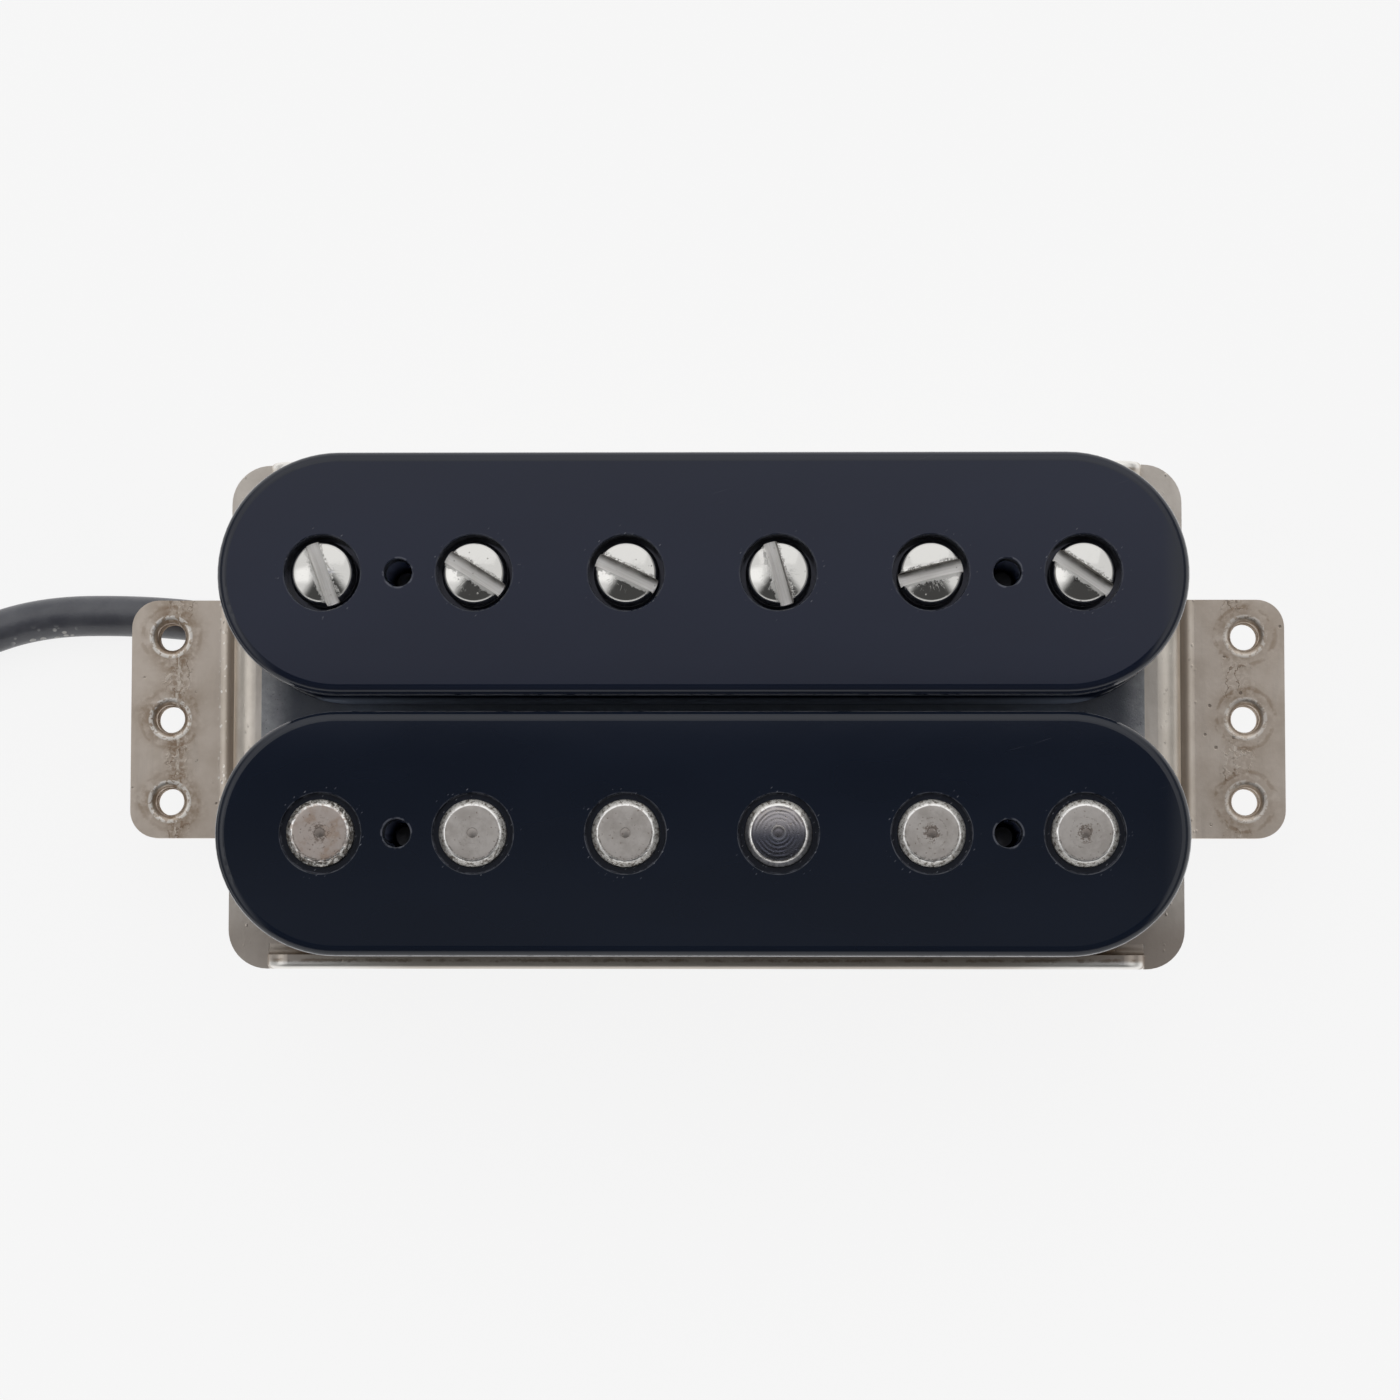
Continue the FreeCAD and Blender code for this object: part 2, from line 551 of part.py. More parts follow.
def make_pole_screws():
    """Slotted screws with domed heads, whose rims are level with the bobbin's top."""
    for number, turn in enumerate(SLOT_TURNS):
        label = f"pole_screw_{number + 1}"
        body = new_body(label, f"pole_pitch * {number} - row_length / 2", "row_pitch / 2", turn)
        profile = new_sketch(body, label + "_profile", "XZ_Plane")
        head_bottom = "bobbin_top - screw_head_height"
        side = [("0", "0"), ("screw_shank / 2 - screw_point", "0"), ("screw_shank / 2", "screw_point")]
        side += [("screw_shank / 2", head_bottom), ("screw_head / 2", head_bottom)]
        side += [("screw_head / 2", "bobbin_top - slot_depth")]
        domed_profile(profile, side, ("screw_head / 2 - screw_taper", "bobbin_top"), "screw_dome")
        revolve(body, profile, label + "_turned")
        slot = new_sketch(body, label + "_slot_outline", height="bobbin_top - slot_depth")
        polygon(slot, corners("screw_head", "slot_width / 2"))
        pocket(body, slot, label + "_slot", "slot_depth + screw_head", upward=True)


def make_slugs():
    """Plain rods with chamfered ends, pressed into the bobbin."""
    for number in range(POLE_COUNT):
        label = f"slug_{number + 1}"
        body = new_body(label, f"pole_pitch * {number} - row_length / 2", "-row_pitch / 2")
        outline = new_sketch(body, label + "_circle", height="bobbin_top + slug_proud - slug_length")
        circle(outline, "0", "0", "slug_diameter / 2")
        pad(body, outline, label + "_rod", "slug_length")
        fillet(body, label + "_ends", "slug_chamfer", lambda edge: near(edge.BoundBox.ZLength, 0), "Chamfer")


def make_fixing_screws():
    """Screws with slotted pan heads that hold the bobbins from under the plate."""
    places = [(x, y) for y in ("row_pitch / 2", "-row_pitch / 2") for x in ("-fixing_place", "fixing_place")]
    for number, (x, y) in enumerate(places, 1):
        label = f"fixing_screw_{number}"
        body = new_body(label, x, y)
        shank = new_sketch(body, label + "_shank_circle", height="plate_bottom")
        circle(shank, "0", "0", "fixing_shank / 2")
        pad(body, shank, label + "_shank", "fixing_length")
        head = new_sketch(body, label + "_head_circle", height="plate_bottom - fixing_head_height")
        circle(head, "0", "0", "fixing_head / 2")
        pad(body, head, label + "_head", "fixing_head_height")
        under = value("plate_bottom - fixing_head_height")
        fillet(body, label + "_round", "fixing_head_height / 2", lambda edge: lies_at(edge, "Z", under))
        slot = new_sketch(body, label + "_slot_outline", height="plate_bottom - fixing_head_height")
        polygon(slot, corners("fixing_head", "fixing_slot_width / 2"))
        pocket(body, slot, label + "_slot", "fixing_slot_depth", upward=True)


def rounded_path(points, label):
    """Straight runs joined by tangent arcs, each arc as large as its two runs allow."""
    edges, start, radii = [], points[0], []
    for before, corner, after in zip(points, points[1:], points[2:]):
        one, two = before - corner, after - corner
        half_turn = (math.pi - one.getAngle(two)) / 2
        setback = ARC * min(one.Length, two.Length)
        radii.append(setback / math.tan(half_turn))
        first = corner + one.normalize() * setback
        last = corner + two.normalize() * setback
        middle_way = (one + two).normalize()
        to_middle = radii[-1] / math.cos(half_turn) - radii[-1]
        edges.append(Part.LineSegment(start, first).toShape())
        edges.append(Part.Arc(first, corner + middle_way * to_middle, last).toShape())
        start = last
    edges.append(Part.LineSegment(start, points[-1]).toShape())
    print(f"{label}: radii", " ".join(f"{radius:.1f}" for radius in radii))
    return Part.Wire(edges)


def tube(path, diameter, label):
    """A round tube along a path, with its volume compared with its section times its length."""
    first = path.OrderedEdges[0]
    ring = Part.Circle(first.valueAt(first.FirstParameter), first.tangentAt(first.FirstParameter), diameter / 2)
    solid = path.makePipeShell([Part.Wire(ring.toShape())], True, False)
    expected = math.pi * diameter ** 2 / 4 * path.Length
    print(f"{label}: length {path.Length:.1f}, volume share {solid.Volume / expected:.4f}")
    return solid


def add_shape(label, shape):
    feature = doc.addObject("Part::Feature", label)
    feature.Label = label
    feature.Shape = shape


def cord_coil_path(end):
    """A flat spiral of half circles on two centres, then a tighter quarter turn inwards.

    It starts at the end of the lead, runs one diameter straight on, and turns to the left.
    """
    straight, pitch, outer = value("cord_diameter"), value("coil_pitch"), value("coil_outer")
    last, half_turns = value("coil_last"), 6
    top = end + Vector(-straight, 0, 0)
    centre = top - Vector(0, outer, 0)
    edges = [Part.LineSegment(end, top).toShape()]
    radius, point, side = outer, top, 1
    for _ in range(half_turns):
        middle = point - Vector(0, side * radius, 0)
        far = middle - Vector(0, side * radius, 0)
        edges.append(Part.Arc(point, middle - Vector(side * radius, 0, 0), far).toShape())
        point, side, radius = far, -side, radius - pitch / 2
    middle = point - Vector(0, last, 0)
    quarter = math.sqrt(0.5) * last
    turned = middle - Vector(last, 0, 0)
    edges.append(Part.Arc(point, middle + Vector(-quarter, quarter, 0), turned).toShape())
    stop = turned - Vector(0, straight, 0)
    edges.append(Part.LineSegment(turned, stop).toShape())
    return Part.Wire(edges), centre, stop


def least_gap(path, diameter):
    """The least gap between turns, from points along the path that lie over half a turn apart."""
    points = path.discretize(Distance=diameter / 3)
    apart = int(math.pi * value("coil_last") / (diameter / 3))
    gaps = (one.distanceToPoint(two) for n, one in enumerate(points) for two in points[n + apart:])
    return min(gaps) - diameter


def make_lead():
    """The jacketed lead up to its coil, the coil, and the strap round the coil's turns."""
    diameter = value("cord_diameter")
    start = Vector(*map(value, LEAD_START))
    route = [start, start - Vector(0, 0, value("cord_drop"))] + [Vector(*point) for point in LEAD_ROUTE]
    add_shape("cable", tube(rounded_path(route, "cable"), diameter, "cable"))
    path, centre, stop = cord_coil_path(route[-1])
    add_shape("cable_coil", tube(path, diameter, "cable_coil"))
    print(f"cable_coil: least gap {least_gap(path, diameter):.2f}")
    turns = 3
    bundle = value("coil_pitch") * (turns - 1) / 2
    body = doc.addObject("PartDesign::Body", "cable_tie")
    body.Label = "cable_tie"
    strap = new_sketch(body, "strap_outside", "XZ_Plane")
    slot_outline(strap, f"coil_pitch * {turns - 1} / 2", "cord_diameter / 2 + tie_fit + tie_wall")
    pad(body, strap, "strap", "tie_width", symmetric=True)
    hollow = new_sketch(body, "strap_inside", "XZ_Plane")
    slot_outline(hollow, f"coil_pitch * {turns - 1} / 2", "cord_diameter / 2 + tie_fit")
    pocket(body, hollow, "strap_space", "tie_width", symmetric=True)
    body.Placement = Placement(centre + Vector(bundle - value("coil_outer"), 0, 0), Rotation())
    return start, stop


def make_conductors(start, jacket_end):
    """Four insulated conductors and the bare shield wire, where they leave the jacket at both ends."""
    ring, wire, rise = value("wire_ring"), value("wire_diameter"), Vector(0, 0, value("wire_rise"))
    reach = value("splice_length")
    room = value("slug_diameter / 2 + seat - splice_room - splice_diameter / 2")
    for number, (colour, places) in enumerate(WIRE_ENDS.items()):
        offset = Rotation(Vector(0, 0, 1), 45 + 90 * number).multVec(Vector(ring, 0, 0))
        ahead, side = math.copysign(1, offset.x), math.copysign(1, offset.y)
        swing = math.degrees(math.asin((room - abs(offset.y)) / (reach * 2)))
        out = Rotation(Vector(0, 0, 1), ahead * side * swing).multVec(Vector(ahead, 0, 0))
        root = start + offset
        inner = [root, root + rise, root + rise + out * reach]
        outer = [jacket_end + Vector(*place) for place in places]
        pieces = [tube(rounded_path(way, colour), wire, colour) for way in (inner, outer)]
        add_shape(f"{colour}_conductor", Part.makeCompound(pieces))
        sleeve = Part.makeCylinder(value("splice_diameter") / 2, reach, inner[-1], out)
        add_shape(f"{colour}_splice", sleeve)
    root = start + Vector(value("drain_ring"), 0, 0)
    drop = Vector(start.x + value("solder_place"), start.y, value("plate_top"))
    inner = [root, root + rise / 2, Vector(drop.x, drop.y, (root + rise / 2).z)]
    outer = [jacket_end + Vector(*place) for place in DRAIN_END]
    pieces = [tube(rounded_path(way, "drain"), value("drain_diameter"), "drain") for way in (inner, outer)]
    add_shape("drain_wire", Part.makeCompound(pieces))
    blob = Part.makeCone(value("solder_radius"), value("solder_radius") / 2, value("solder_height"), drop)
    add_shape("ground_solder", blob.cut(pieces[0]))


def check_and_export():
    for item in doc.Objects:
        if {"Invalid", "Error"} & set(item.State):
            raise ValueError(f"{item.Name} failed: {item.State}")
    os.makedirs("parts", exist_ok=True)
    pieces = [item for item in doc.Objects if item.TypeId in ("PartDesign::Body", "Part::Feature")]
    for item in pieces:
        if item.Shape.isNull() or not item.Shape.isValid():
            raise ValueError(f"{item.Label} has no valid shape")
        print(item.Label, len(item.Shape.Solids), round(item.Shape.Volume, 2))
        item.Shape.exportStep(f"parts/{item.Label}.step")


fill_sheet()
make_baseplate()
make_bars()
make_bobbins()
make_windings()
make_pole_screws()
make_slugs()
make_fixing_screws()
make_conductors(*make_lead())
doc.recompute()
check_and_export()
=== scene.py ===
"""Open-coil guitar pickup: finishes, screws, slugs, tapes, lead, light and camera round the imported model."""

import json
import math

import bmesh
import bpy
import numpy as np
from mathutils import Matrix, Vector


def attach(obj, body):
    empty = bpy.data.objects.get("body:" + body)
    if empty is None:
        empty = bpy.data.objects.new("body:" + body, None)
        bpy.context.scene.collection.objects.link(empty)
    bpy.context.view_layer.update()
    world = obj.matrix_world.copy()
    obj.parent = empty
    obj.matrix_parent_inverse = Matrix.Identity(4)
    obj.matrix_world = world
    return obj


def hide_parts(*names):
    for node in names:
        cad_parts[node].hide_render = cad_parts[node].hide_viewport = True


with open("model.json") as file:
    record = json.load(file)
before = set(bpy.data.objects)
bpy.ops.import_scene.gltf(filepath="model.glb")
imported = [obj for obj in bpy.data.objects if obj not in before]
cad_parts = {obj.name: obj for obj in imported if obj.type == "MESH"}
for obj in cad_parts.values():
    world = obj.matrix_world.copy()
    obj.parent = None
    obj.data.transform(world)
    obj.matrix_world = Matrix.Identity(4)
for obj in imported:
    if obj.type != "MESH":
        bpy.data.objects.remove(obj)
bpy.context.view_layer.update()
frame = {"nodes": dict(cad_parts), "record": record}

MM = 0.001
TAU = 2 * math.pi

# Sizes of the pickup in millimetres, the same as its source's.
POLE_PITCH = 10.4
ROW_PITCH = 17.8
POLE_COUNT = 6
ROW_LENGTH = POLE_PITCH * (POLE_COUNT - 1)
FOOT_TOP = 6.2
PLATE_BOTTOM = 8.5
PLATE_TOP = 9.5
PLATE_END = 34.15
BOBBIN_END = 8.35
BOBBIN_STRAIGHT = 49.8
BOBBIN_TOP = 23.7
SLUG_RADIUS = 2.3
SLUG_FACE = 1.84
SLUG_LENGTH = 12.7
SLUG_LIFT = 0.4
FIXING_X = 20.8
FIXING_BORE = 1.0
TAPE_BOTTOM = 13.9
TAPE_HEIGHT = 8.2
TAPE_OUTSIDE = 6.7
LEG_HOLE_X = 39.0
LEG_HOLE_PITCH = 6.0
LEG_HOLE = 1.025
CORD = 3.0
WIRE = 0.8
STRANDS = 7

SLOT_TURNS = [-70, -32, -25, -74, 14, -34]
# How uneven each slug's edge is; the fourth slug is turned bright.
SLUG_WOBBLE = [0.042, 0.008, 0.018, 0.009, 0.014, 0.012]
BRIGHT_SLUG = 3

LEAD_ROUTE = [
    (-10.4, -8.9, 9.2),
    (-10.4, -8.9, 5.8),
    (-12.4, -7.8, 2.7),
    (-17.0, -5.2, 1.5),
    (-23.4, -1.2, 1.5),
    (-29.4, 3.6, 1.5),
    (-35.2, 7.3, 1.5),
    (-42.0, 8.0, 1.5),
    (-49.6, 7.9, 1.5),
    (-55.6, 5.7, 1.6),
    (-62.0, 4.1, 1.85),
    (-68.6, 3.5, 1.95),
    (-75.0, 3.5, 1.95),
]
COIL_CENTRE = (-78.0, -17.875, 1.95)
COIL_FIRST = 21.375
COIL_PITCH = 3.5
COIL_TURNS = 3
COIL_POINTS = 16
COIL_TAIL = [(-82.2, -8.0, 1.95), (-85.2, -11.0, 1.95), (-86.0, -15.0, 1.95), (-86.0, -18.0, 1.95)]
JACKET_END = (-86.0, -18.0, 1.95)

# The bared ends of the conductors, sideways, onward and up from the middle of the jacket's end.
WIRE_ENDS = {
    "red": [(0.5, 0.0, -0.5), (0.5, -2.2, -0.5), (1.9, -4.4, -1.2), (4.9, -5.9, -1.55), (8.9, -6.0, -1.55)],
    "white": [(-0.5, 0.0, -0.5), (-0.5, -2.4, -0.5), (0.7, -5.0, -1.2), (3.6, -7.6, -1.55), (7.8, -8.3, -1.55)],
    "green": [(-0.5, 0.0, 0.5), (-0.5, -2.6, 0.5), (-0.4, -5.6, -1.0), (2.2, -8.8, -1.55), (6.6, -10.2, -1.55)],
    "black": [(0.5, 0.0, 0.5), (0.5, -2.0, 0.5), (2.6, -3.3, -0.6), (5.8, -3.9, -1.55), (9.6, -3.4, -1.55)],
}
DRAIN_END = [(0.0, 0.0, 0.98), (0.0, -1.7, 0.98), (1.7, -2.4, 1.7), (4.8, -1.5, -0.4), (8.0, -0.8, -1.7)]


class Field:
    """A number that varies over a surface. Python's operators on it add Math nodes to its finish."""

    def __init__(self, finish, socket):
        self.finish = finish
        self.socket = socket

    def math(self, operation, *others):
        """A Math node whose first term is this number."""
        return self.finish.add("ShaderNodeMath", {"operation": operation}, self, *others)

    def __add__(self, other):
        return self.math("ADD", other)

    def __sub__(self, other):
        return self.math("SUBTRACT", other)

    def __rsub__(self, other):
        return self.finish.add("ShaderNodeMath", {"operation": "SUBTRACT"}, other, self)

    def __mul__(self, other):
        return self.math("MULTIPLY", other)

    def __truediv__(self, other):
        return self.math("DIVIDE", other)

    def __abs__(self):
        return self.math("ABSOLUTE")

    __radd__ = __add__
    __rmul__ = __mul__

    def at_least(self, other):
        return self.math("MAXIMUM", other)

    def at_most(self, other):
        return self.math("MINIMUM", other)

    def between(self, low, high):
        """0 below low, 1 above high and a smooth step from one to the other; low may be the larger."""
        settings = {"interpolation_type": "SMOOTHSTEP"}
        ends = {"Value": self, "From Min": low, "From Max": high, "To Min": 0.0, "To Max": 1.0}
        if low > high:
            ends.update({"From Min": high, "From Max": low, "To Min": 1.0, "To Max": 0.0})
        return self.finish.add("ShaderNodeMapRange", settings, **ends)

    def inside(self, low, rise, fall, high):
        """0 below low and above high, 1 from rise to fall, and smooth steps between."""
        return self.between(low, rise) * self.between(high, fall)

    def near(self, middle, outer, inner):
        """1 within inner of a value, 0 from outer on, and a smooth step between."""
        return abs(self - middle).between(outer, inner)

    def nearest(self, pitch, shift=0.0):
        """Distance, with its sign, to the nearest place that is a whole number of pitches from the shift."""
        steps = (self - shift) / pitch + 0.5
        return (steps - steps.math("FLOOR") - 0.5) * pitch


def diagonal(one, other):
    """The root of the sum of two squares."""
    return (one * one + other * other).math("SQRT")


def toned(colour, factor, lift=0.0):
    """A colour made darker or paler."""
    return tuple(part * factor + lift for part in colour)


class Nodes:
    """A node tree that is built by calls; the numbers that vary in it are Fields."""

    def __init__(self, tree):
        self.nodes = tree.nodes
        self.links = tree.links

    def fill(self, socket, value):
        if isinstance(value, Field):
            value = value.socket
        if isinstance(value, bpy.types.NodeSocket):
            self.links.new(value, socket)
        else:
            socket.default_value = (*value, 1.0) if socket.type == "RGBA" else value

    def add(self, kind, settings=None, *values, output=0, **named):
        """One node: its settings first, then its inputs by order or by name. Gives the output as a Field."""
        node = self.nodes.new(kind)
        for name, setting in (settings or {}).items():
            setattr(node, name, setting)
        for socket, value in zip(node.inputs, values):
            self.fill(socket, value)
        for name, value in named.items():
            self.fill(node.inputs[name], value)
        return Field(self, node.outputs[output])

    def parts(self, place):
        """The three coordinates of a place."""
        node = self.nodes.new("ShaderNodeSeparateXYZ")
        self.fill(node.inputs[0], place)
        return [Field(self, output) for output in node.outputs]

    def joined(self, x, y, z):
        return self.add("ShaderNodeCombineXYZ", None, x, y, z)

    def stretched(self, place, along):
        """A place with its three axes multiplied by three numbers, if there are any."""
        if along is None:
            return place
        return self.add("ShaderNodeVectorMath", {"operation": "MULTIPLY"}, place, along)

    def noise(self, place, scale, detail=3.0, roughness=0.55, along=None, distortion=0.0):
        inputs = {"Vector": self.stretched(place, along), "Scale": scale, "Detail": detail}
        return self.add("ShaderNodeTexNoise", None, **inputs, Roughness=roughness, Distortion=distortion)

    def cells(self, place, scale, along=None, feature="F1"):
        inputs = {"Vector": self.stretched(place, along), "Scale": scale}
        return self.add("ShaderNodeTexVoronoi", {"feature": feature}, **inputs)

    def blend(self, factor, one, two):
        """The first colour where the factor is 0, the second where it is 1."""
        node = self.nodes.new("ShaderNodeMix")
        node.data_type = "RGBA"
        for socket, value in zip((node.inputs[0], node.inputs[6], node.inputs[7]), (factor, one, two)):
            self.fill(socket, value)
        return Field(self, node.outputs[2])

    def layered(self, tone, *layers):
        """A colour with others laid over it one after another, each by its factor."""
        for factor, colour in layers:
            tone = self.blend(factor, tone, colour)
        return tone


class Finish(Nodes):
    """One material: a Principled shader, and the nodes that vary it over a surface."""

    def __init__(self, name, colour, roughness, metallic=0.0, coat=0.0, specular=0.5):
        self.name = name
        self.material = bpy.data.materials.new(name)
        self.material.use_nodes = True
        super().__init__(self.material.node_tree)
        self.shader = self.nodes["Principled BSDF"]
        self.set(**{"Base Color": colour, "Roughness": roughness, "Metallic": metallic, "Coat Weight": coat,
                    "Coat Roughness": 0.1, "Specular IOR Level": specular})

    def set(self, **inputs):
        for name, value in inputs.items():
            self.fill(self.shader.inputs[name], value)

    def place(self):
        """The point's place in millimetres."""
        metres = self.add("ShaderNodeTexCoord", output=3)
        return self.add("ShaderNodeVectorMath", {"operation": "SCALE"}, metres, Scale=1 / MM)

    def map(self):
        """The piece's own UV map, which holds millimetres."""
        return self.add("ShaderNodeUVMap")

    def relief(self, height, depth, **under):
        """A Bump node: height from 0 to 1 over a depth in millimetres, on another one's Normal if given."""
        return self.add("ShaderNodeBump", None, Height=height, Strength=1.0, Distance=depth * MM, **under)

    def dress(self, colour, roughness, height, depth, **under):
        """Sets the colour, roughness and relief that vary over the surface, and gives the finish."""
        self.set(**{"Base Color": colour, "Roughness": roughness}, Normal=self.relief(height, depth, **under))
        return self


def placed(name, data):
    """A new object in the scene, at the origin, that holds the data."""
    carrier = bpy.data.objects.new(name, data)
    bpy.context.scene.collection.objects.link(carrier)
    return carrier


def solved(carrier):
    """A new mesh of what an object's curve or modifiers make."""
    bpy.context.view_layer.update()
    return bpy.data.meshes.new_from_object(carrier.evaluated_get(bpy.context.evaluated_depsgraph_get()))


def places_of(mesh):
    """The places of a mesh's points in millimetres, one a row."""
    places = np.zeros(len(mesh.vertices) * 3, np.float32)
    mesh.vertices.foreach_get("co", places)
    return places.reshape(-1, 3).astype(float) / MM


def skin(points, around=True, caps=True):
    """Quads between neighbours of a grid (rows, columns, 3) in millimetres, its last column joined to its
    first where it goes around, and one polygon over its first row and one over its last if they are capped."""
    rows, columns = points.shape[:2]
    index = np.arange(rows * columns).reshape(rows, columns)
    after = np.roll(index, -1, axis=1) if around else index[:, 1:]
    here = index if around else index[:, :-1]
    quads = np.stack([here[:-1], after[:-1], after[1:], here[1:]], axis=-1).reshape(-1, 4)
    faces = quads.tolist()
    if caps:
        faces += [index[0][::-1].tolist(), index[-1].tolist()]
    return points.reshape(-1, 3), faces


def mesh_of(name, *shells):
    """One mesh from several pairs of points in millimetres and faces."""
    places, faces, start = [], [], 0
    for points, polygons in shells:
        places.append(points)
        faces += [[corner + start for corner in polygon] for polygon in polygons]
        start += len(points)
    mesh = bpy.data.meshes.new(name)
    mesh.from_pydata((np.concatenate(places) * MM).tolist(), [], faces)
    mesh.validate()
    return mesh


def piece(name, mesh, slot, stands_for=(), crease=35, body="pickup"):
    """A finished object at the origin: smooth but for its creases, in its slot's finish, on its body."""
    mesh.name = name
    shaped = placed(name, mesh)
    mesh.shade_smooth()
    mesh.set_sharp_from_angle(angle=math.radians(crease))
    mesh.materials.clear()
    mesh.materials.append(FINISHES[slot].material)
    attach(shaped, body)
    if stands_for:
        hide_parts(*stands_for)
    return shaped


def outward(mesh):
    """Turns a closed mesh's faces outwards, once its doubles are merged."""
    shell = bmesh.new()
    shell.from_mesh(mesh)
    bmesh.ops.remove_doubles(shell, verts=shell.verts, dist=1e-7)
    bmesh.ops.recalc_face_normals(shell, faces=shell.faces)
    shell.to_mesh(mesh)
    shell.free()
    return mesh


def round_angles(columns):
    """The angles of a ring's points, evenly spread."""
    return np.linspace(0, TAU, columns, endpoint=False)


def rings(centre, radius, angle, height):
    """A skin of rings round a vertical axis; radius, angle and height may vary by row and by column."""
    x = centre[0] + radius * np.cos(angle)
    y = centre[1] + radius * np.sin(angle)
    return skin(np.stack(np.broadcast_arrays(x, y, height), axis=-1))


def turned(profile, centre, columns, wobble=None):
    """A lathe shape: each pair (radius, height) of the profile is a ring round a vertical axis.
    The wobble, a function of row and angle, multiplies the radius."""
    radius, height = np.array(profile, float).T[..., None]
    angle = round_angles(columns)
    if wobble:
        radius = radius * wobble(np.arange(len(radius))[:, None], angle)
    return rings(centre, radius, angle, height)


def arc(centre, radius, start, stop, steps):
    """Points (radius, height) on a circle's arc in a lathe profile, from one angle in degrees to another."""
    angle = np.radians(np.linspace(start, stop, steps))
    return list(zip(centre[0] + radius * np.cos(angle), centre[1] + radius * np.sin(angle)))


def thread(centre, radius, low, high, pitch, depth, columns=28, per_turn=8):
    """A threaded rod: at angle a and height z the radius falls by depth times a V wave of
    z / pitch - a / turn, and the V fades out over the last half turn at each end."""
    z = np.linspace(low, high, int((high - low) / pitch * per_turn) + 1)[:, None]
    angle = round_angles(columns)
    phase = (z / pitch - angle / TAU) % 1
    wave = np.clip(abs(phase * 2 - 1) * 1.3 - 0.12, 0, 1)
    fade = np.clip(np.minimum(z - low, high - z) / (pitch / 2), 0, 1)
    return rings(centre, radius - depth * (1 - wave * fade), angle, z)


def followed(name, route):
    """The points, in millimetres, of the open NURBS line that has a route's points as its control points."""
    curve = bpy.data.curves.new(name, "CURVE")
    curve.dimensions = "3D"
    curve.resolution_u = 10
    line = curve.splines.new("NURBS")
    line.points.add(len(route) - 1)
    for point, place in zip(line.points, route):
        point.co = (*(part * MM for part in place), 1.0)
    line.order_u = 3
    line.use_endpoint_u = True
    carrier = placed(name, curve)
    made = solved(carrier)
    points = places_of(made)
    bpy.data.objects.remove(carrier)
    bpy.data.curves.remove(curve)
    bpy.data.meshes.remove(made)
    return points


def swept(path, radius, columns, lay=None, hollow=()):
    """A tube: a ring in the plane across the path at each of its points, turned as little as possible.
    With a lay, it is strands that twist once every lay millimetres: the radius is multiplied by
    1 - 0.3 |sin(strands / 2 x angle)|. Pairs (radius, depth) in hollow carry both ends back inside."""
    path = np.asarray(path, float)
    ahead = np.gradient(path, axis=0)
    ahead /= np.linalg.norm(ahead, axis=1, keepdims=True)
    side = np.cross(ahead[0], [0.3, 0.5, 0.8])
    sides = []
    for direction in ahead:
        side = side - direction * (side @ direction)
        side = side / np.linalg.norm(side)
        sides.append(side)
    sides = np.array(sides)
    ups = np.cross(ahead, sides)
    radius = np.broadcast_to(radius, len(path)).astype(float)
    if hollow:
        size, depth = np.array(hollow).T
        first = path[0] + ahead[0] * depth[::-1, None]
        last = path[-1] - ahead[-1] * depth[:, None]
        path = np.concatenate([first, path, last])
        radius = np.concatenate([size[::-1], radius, size])
        sides, ups = (np.pad(each, ((len(size), len(size)), (0, 0)), "edge") for each in (sides, ups))
    angle = round_angles(columns)
    spread = radius[:, None] * np.ones(columns)
    if lay:
        run = np.concatenate([[0], np.cumsum(np.linalg.norm(np.diff(path, axis=0), axis=1))])[:, None]
        spread = spread * (1 - 0.3 * abs(np.sin(STRANDS / 2 * (angle + TAU * run / lay))))
    ring = np.cos(angle)[:, None] * sides[:, None] + np.sin(angle)[:, None] * ups[:, None]
    return skin(path[:, None] + spread[..., None] * ring)


def add_map(mesh, across):
    """Gives a mesh a UV map worked out from its points' places in millimetres."""
    corner = np.zeros(len(mesh.loops), np.int32)
    mesh.loops.foreach_get("vertex_index", corner)
    layer = mesh.uv_layers.new(name="millimetres")
    layer.data.foreach_set("uv", across(places_of(mesh)[corner]).astype(np.float32).ravel())


def add_flat_map(mesh, centre, turn=0.0):
    """A UV map seen from above: places from the centre, along and across a direction in degrees."""
    c, s = math.cos(math.radians(turn)), math.sin(math.radians(turn))

    def across(places):
        x, y = places[:, 0] - centre[0], places[:, 1] - centre[1]
        return np.stack([x * c + y * s, y * c - x * s], axis=-1)

    add_map(mesh, across)


def bevel(shaped, width, angle=30):
    """Bevels the edges of an object that turn by more than an angle in degrees."""
    edge = shaped.modifiers.new("edge", "BEVEL")
    edge.width = width * MM
    edge.segments = 2
    edge.limit_method = "ANGLE"
    edge.angle_limit = math.radians(angle)


def block(size, centre, turn=0.0):
    """The eight corners and six faces of a box, turned about its vertical axis, in millimetres."""
    signs = np.array([[x, y, z] for z in (-1, 1) for x, y in ((-1, -1), (1, -1), (1, 1), (-1, 1))], float)
    flat = signs * np.array(size) / 2
    c, s = math.cos(math.radians(turn)), math.sin(math.radians(turn))
    x, y, z = flat.T
    corners = np.stack([x * c - y * s, x * s + y * c, z], axis=-1)
    sides = [[0, 3, 2, 1], [4, 5, 6, 7], [0, 1, 5, 4], [1, 2, 6, 5], [2, 3, 7, 6], [3, 0, 4, 7]]
    return corners + np.array(centre), sides


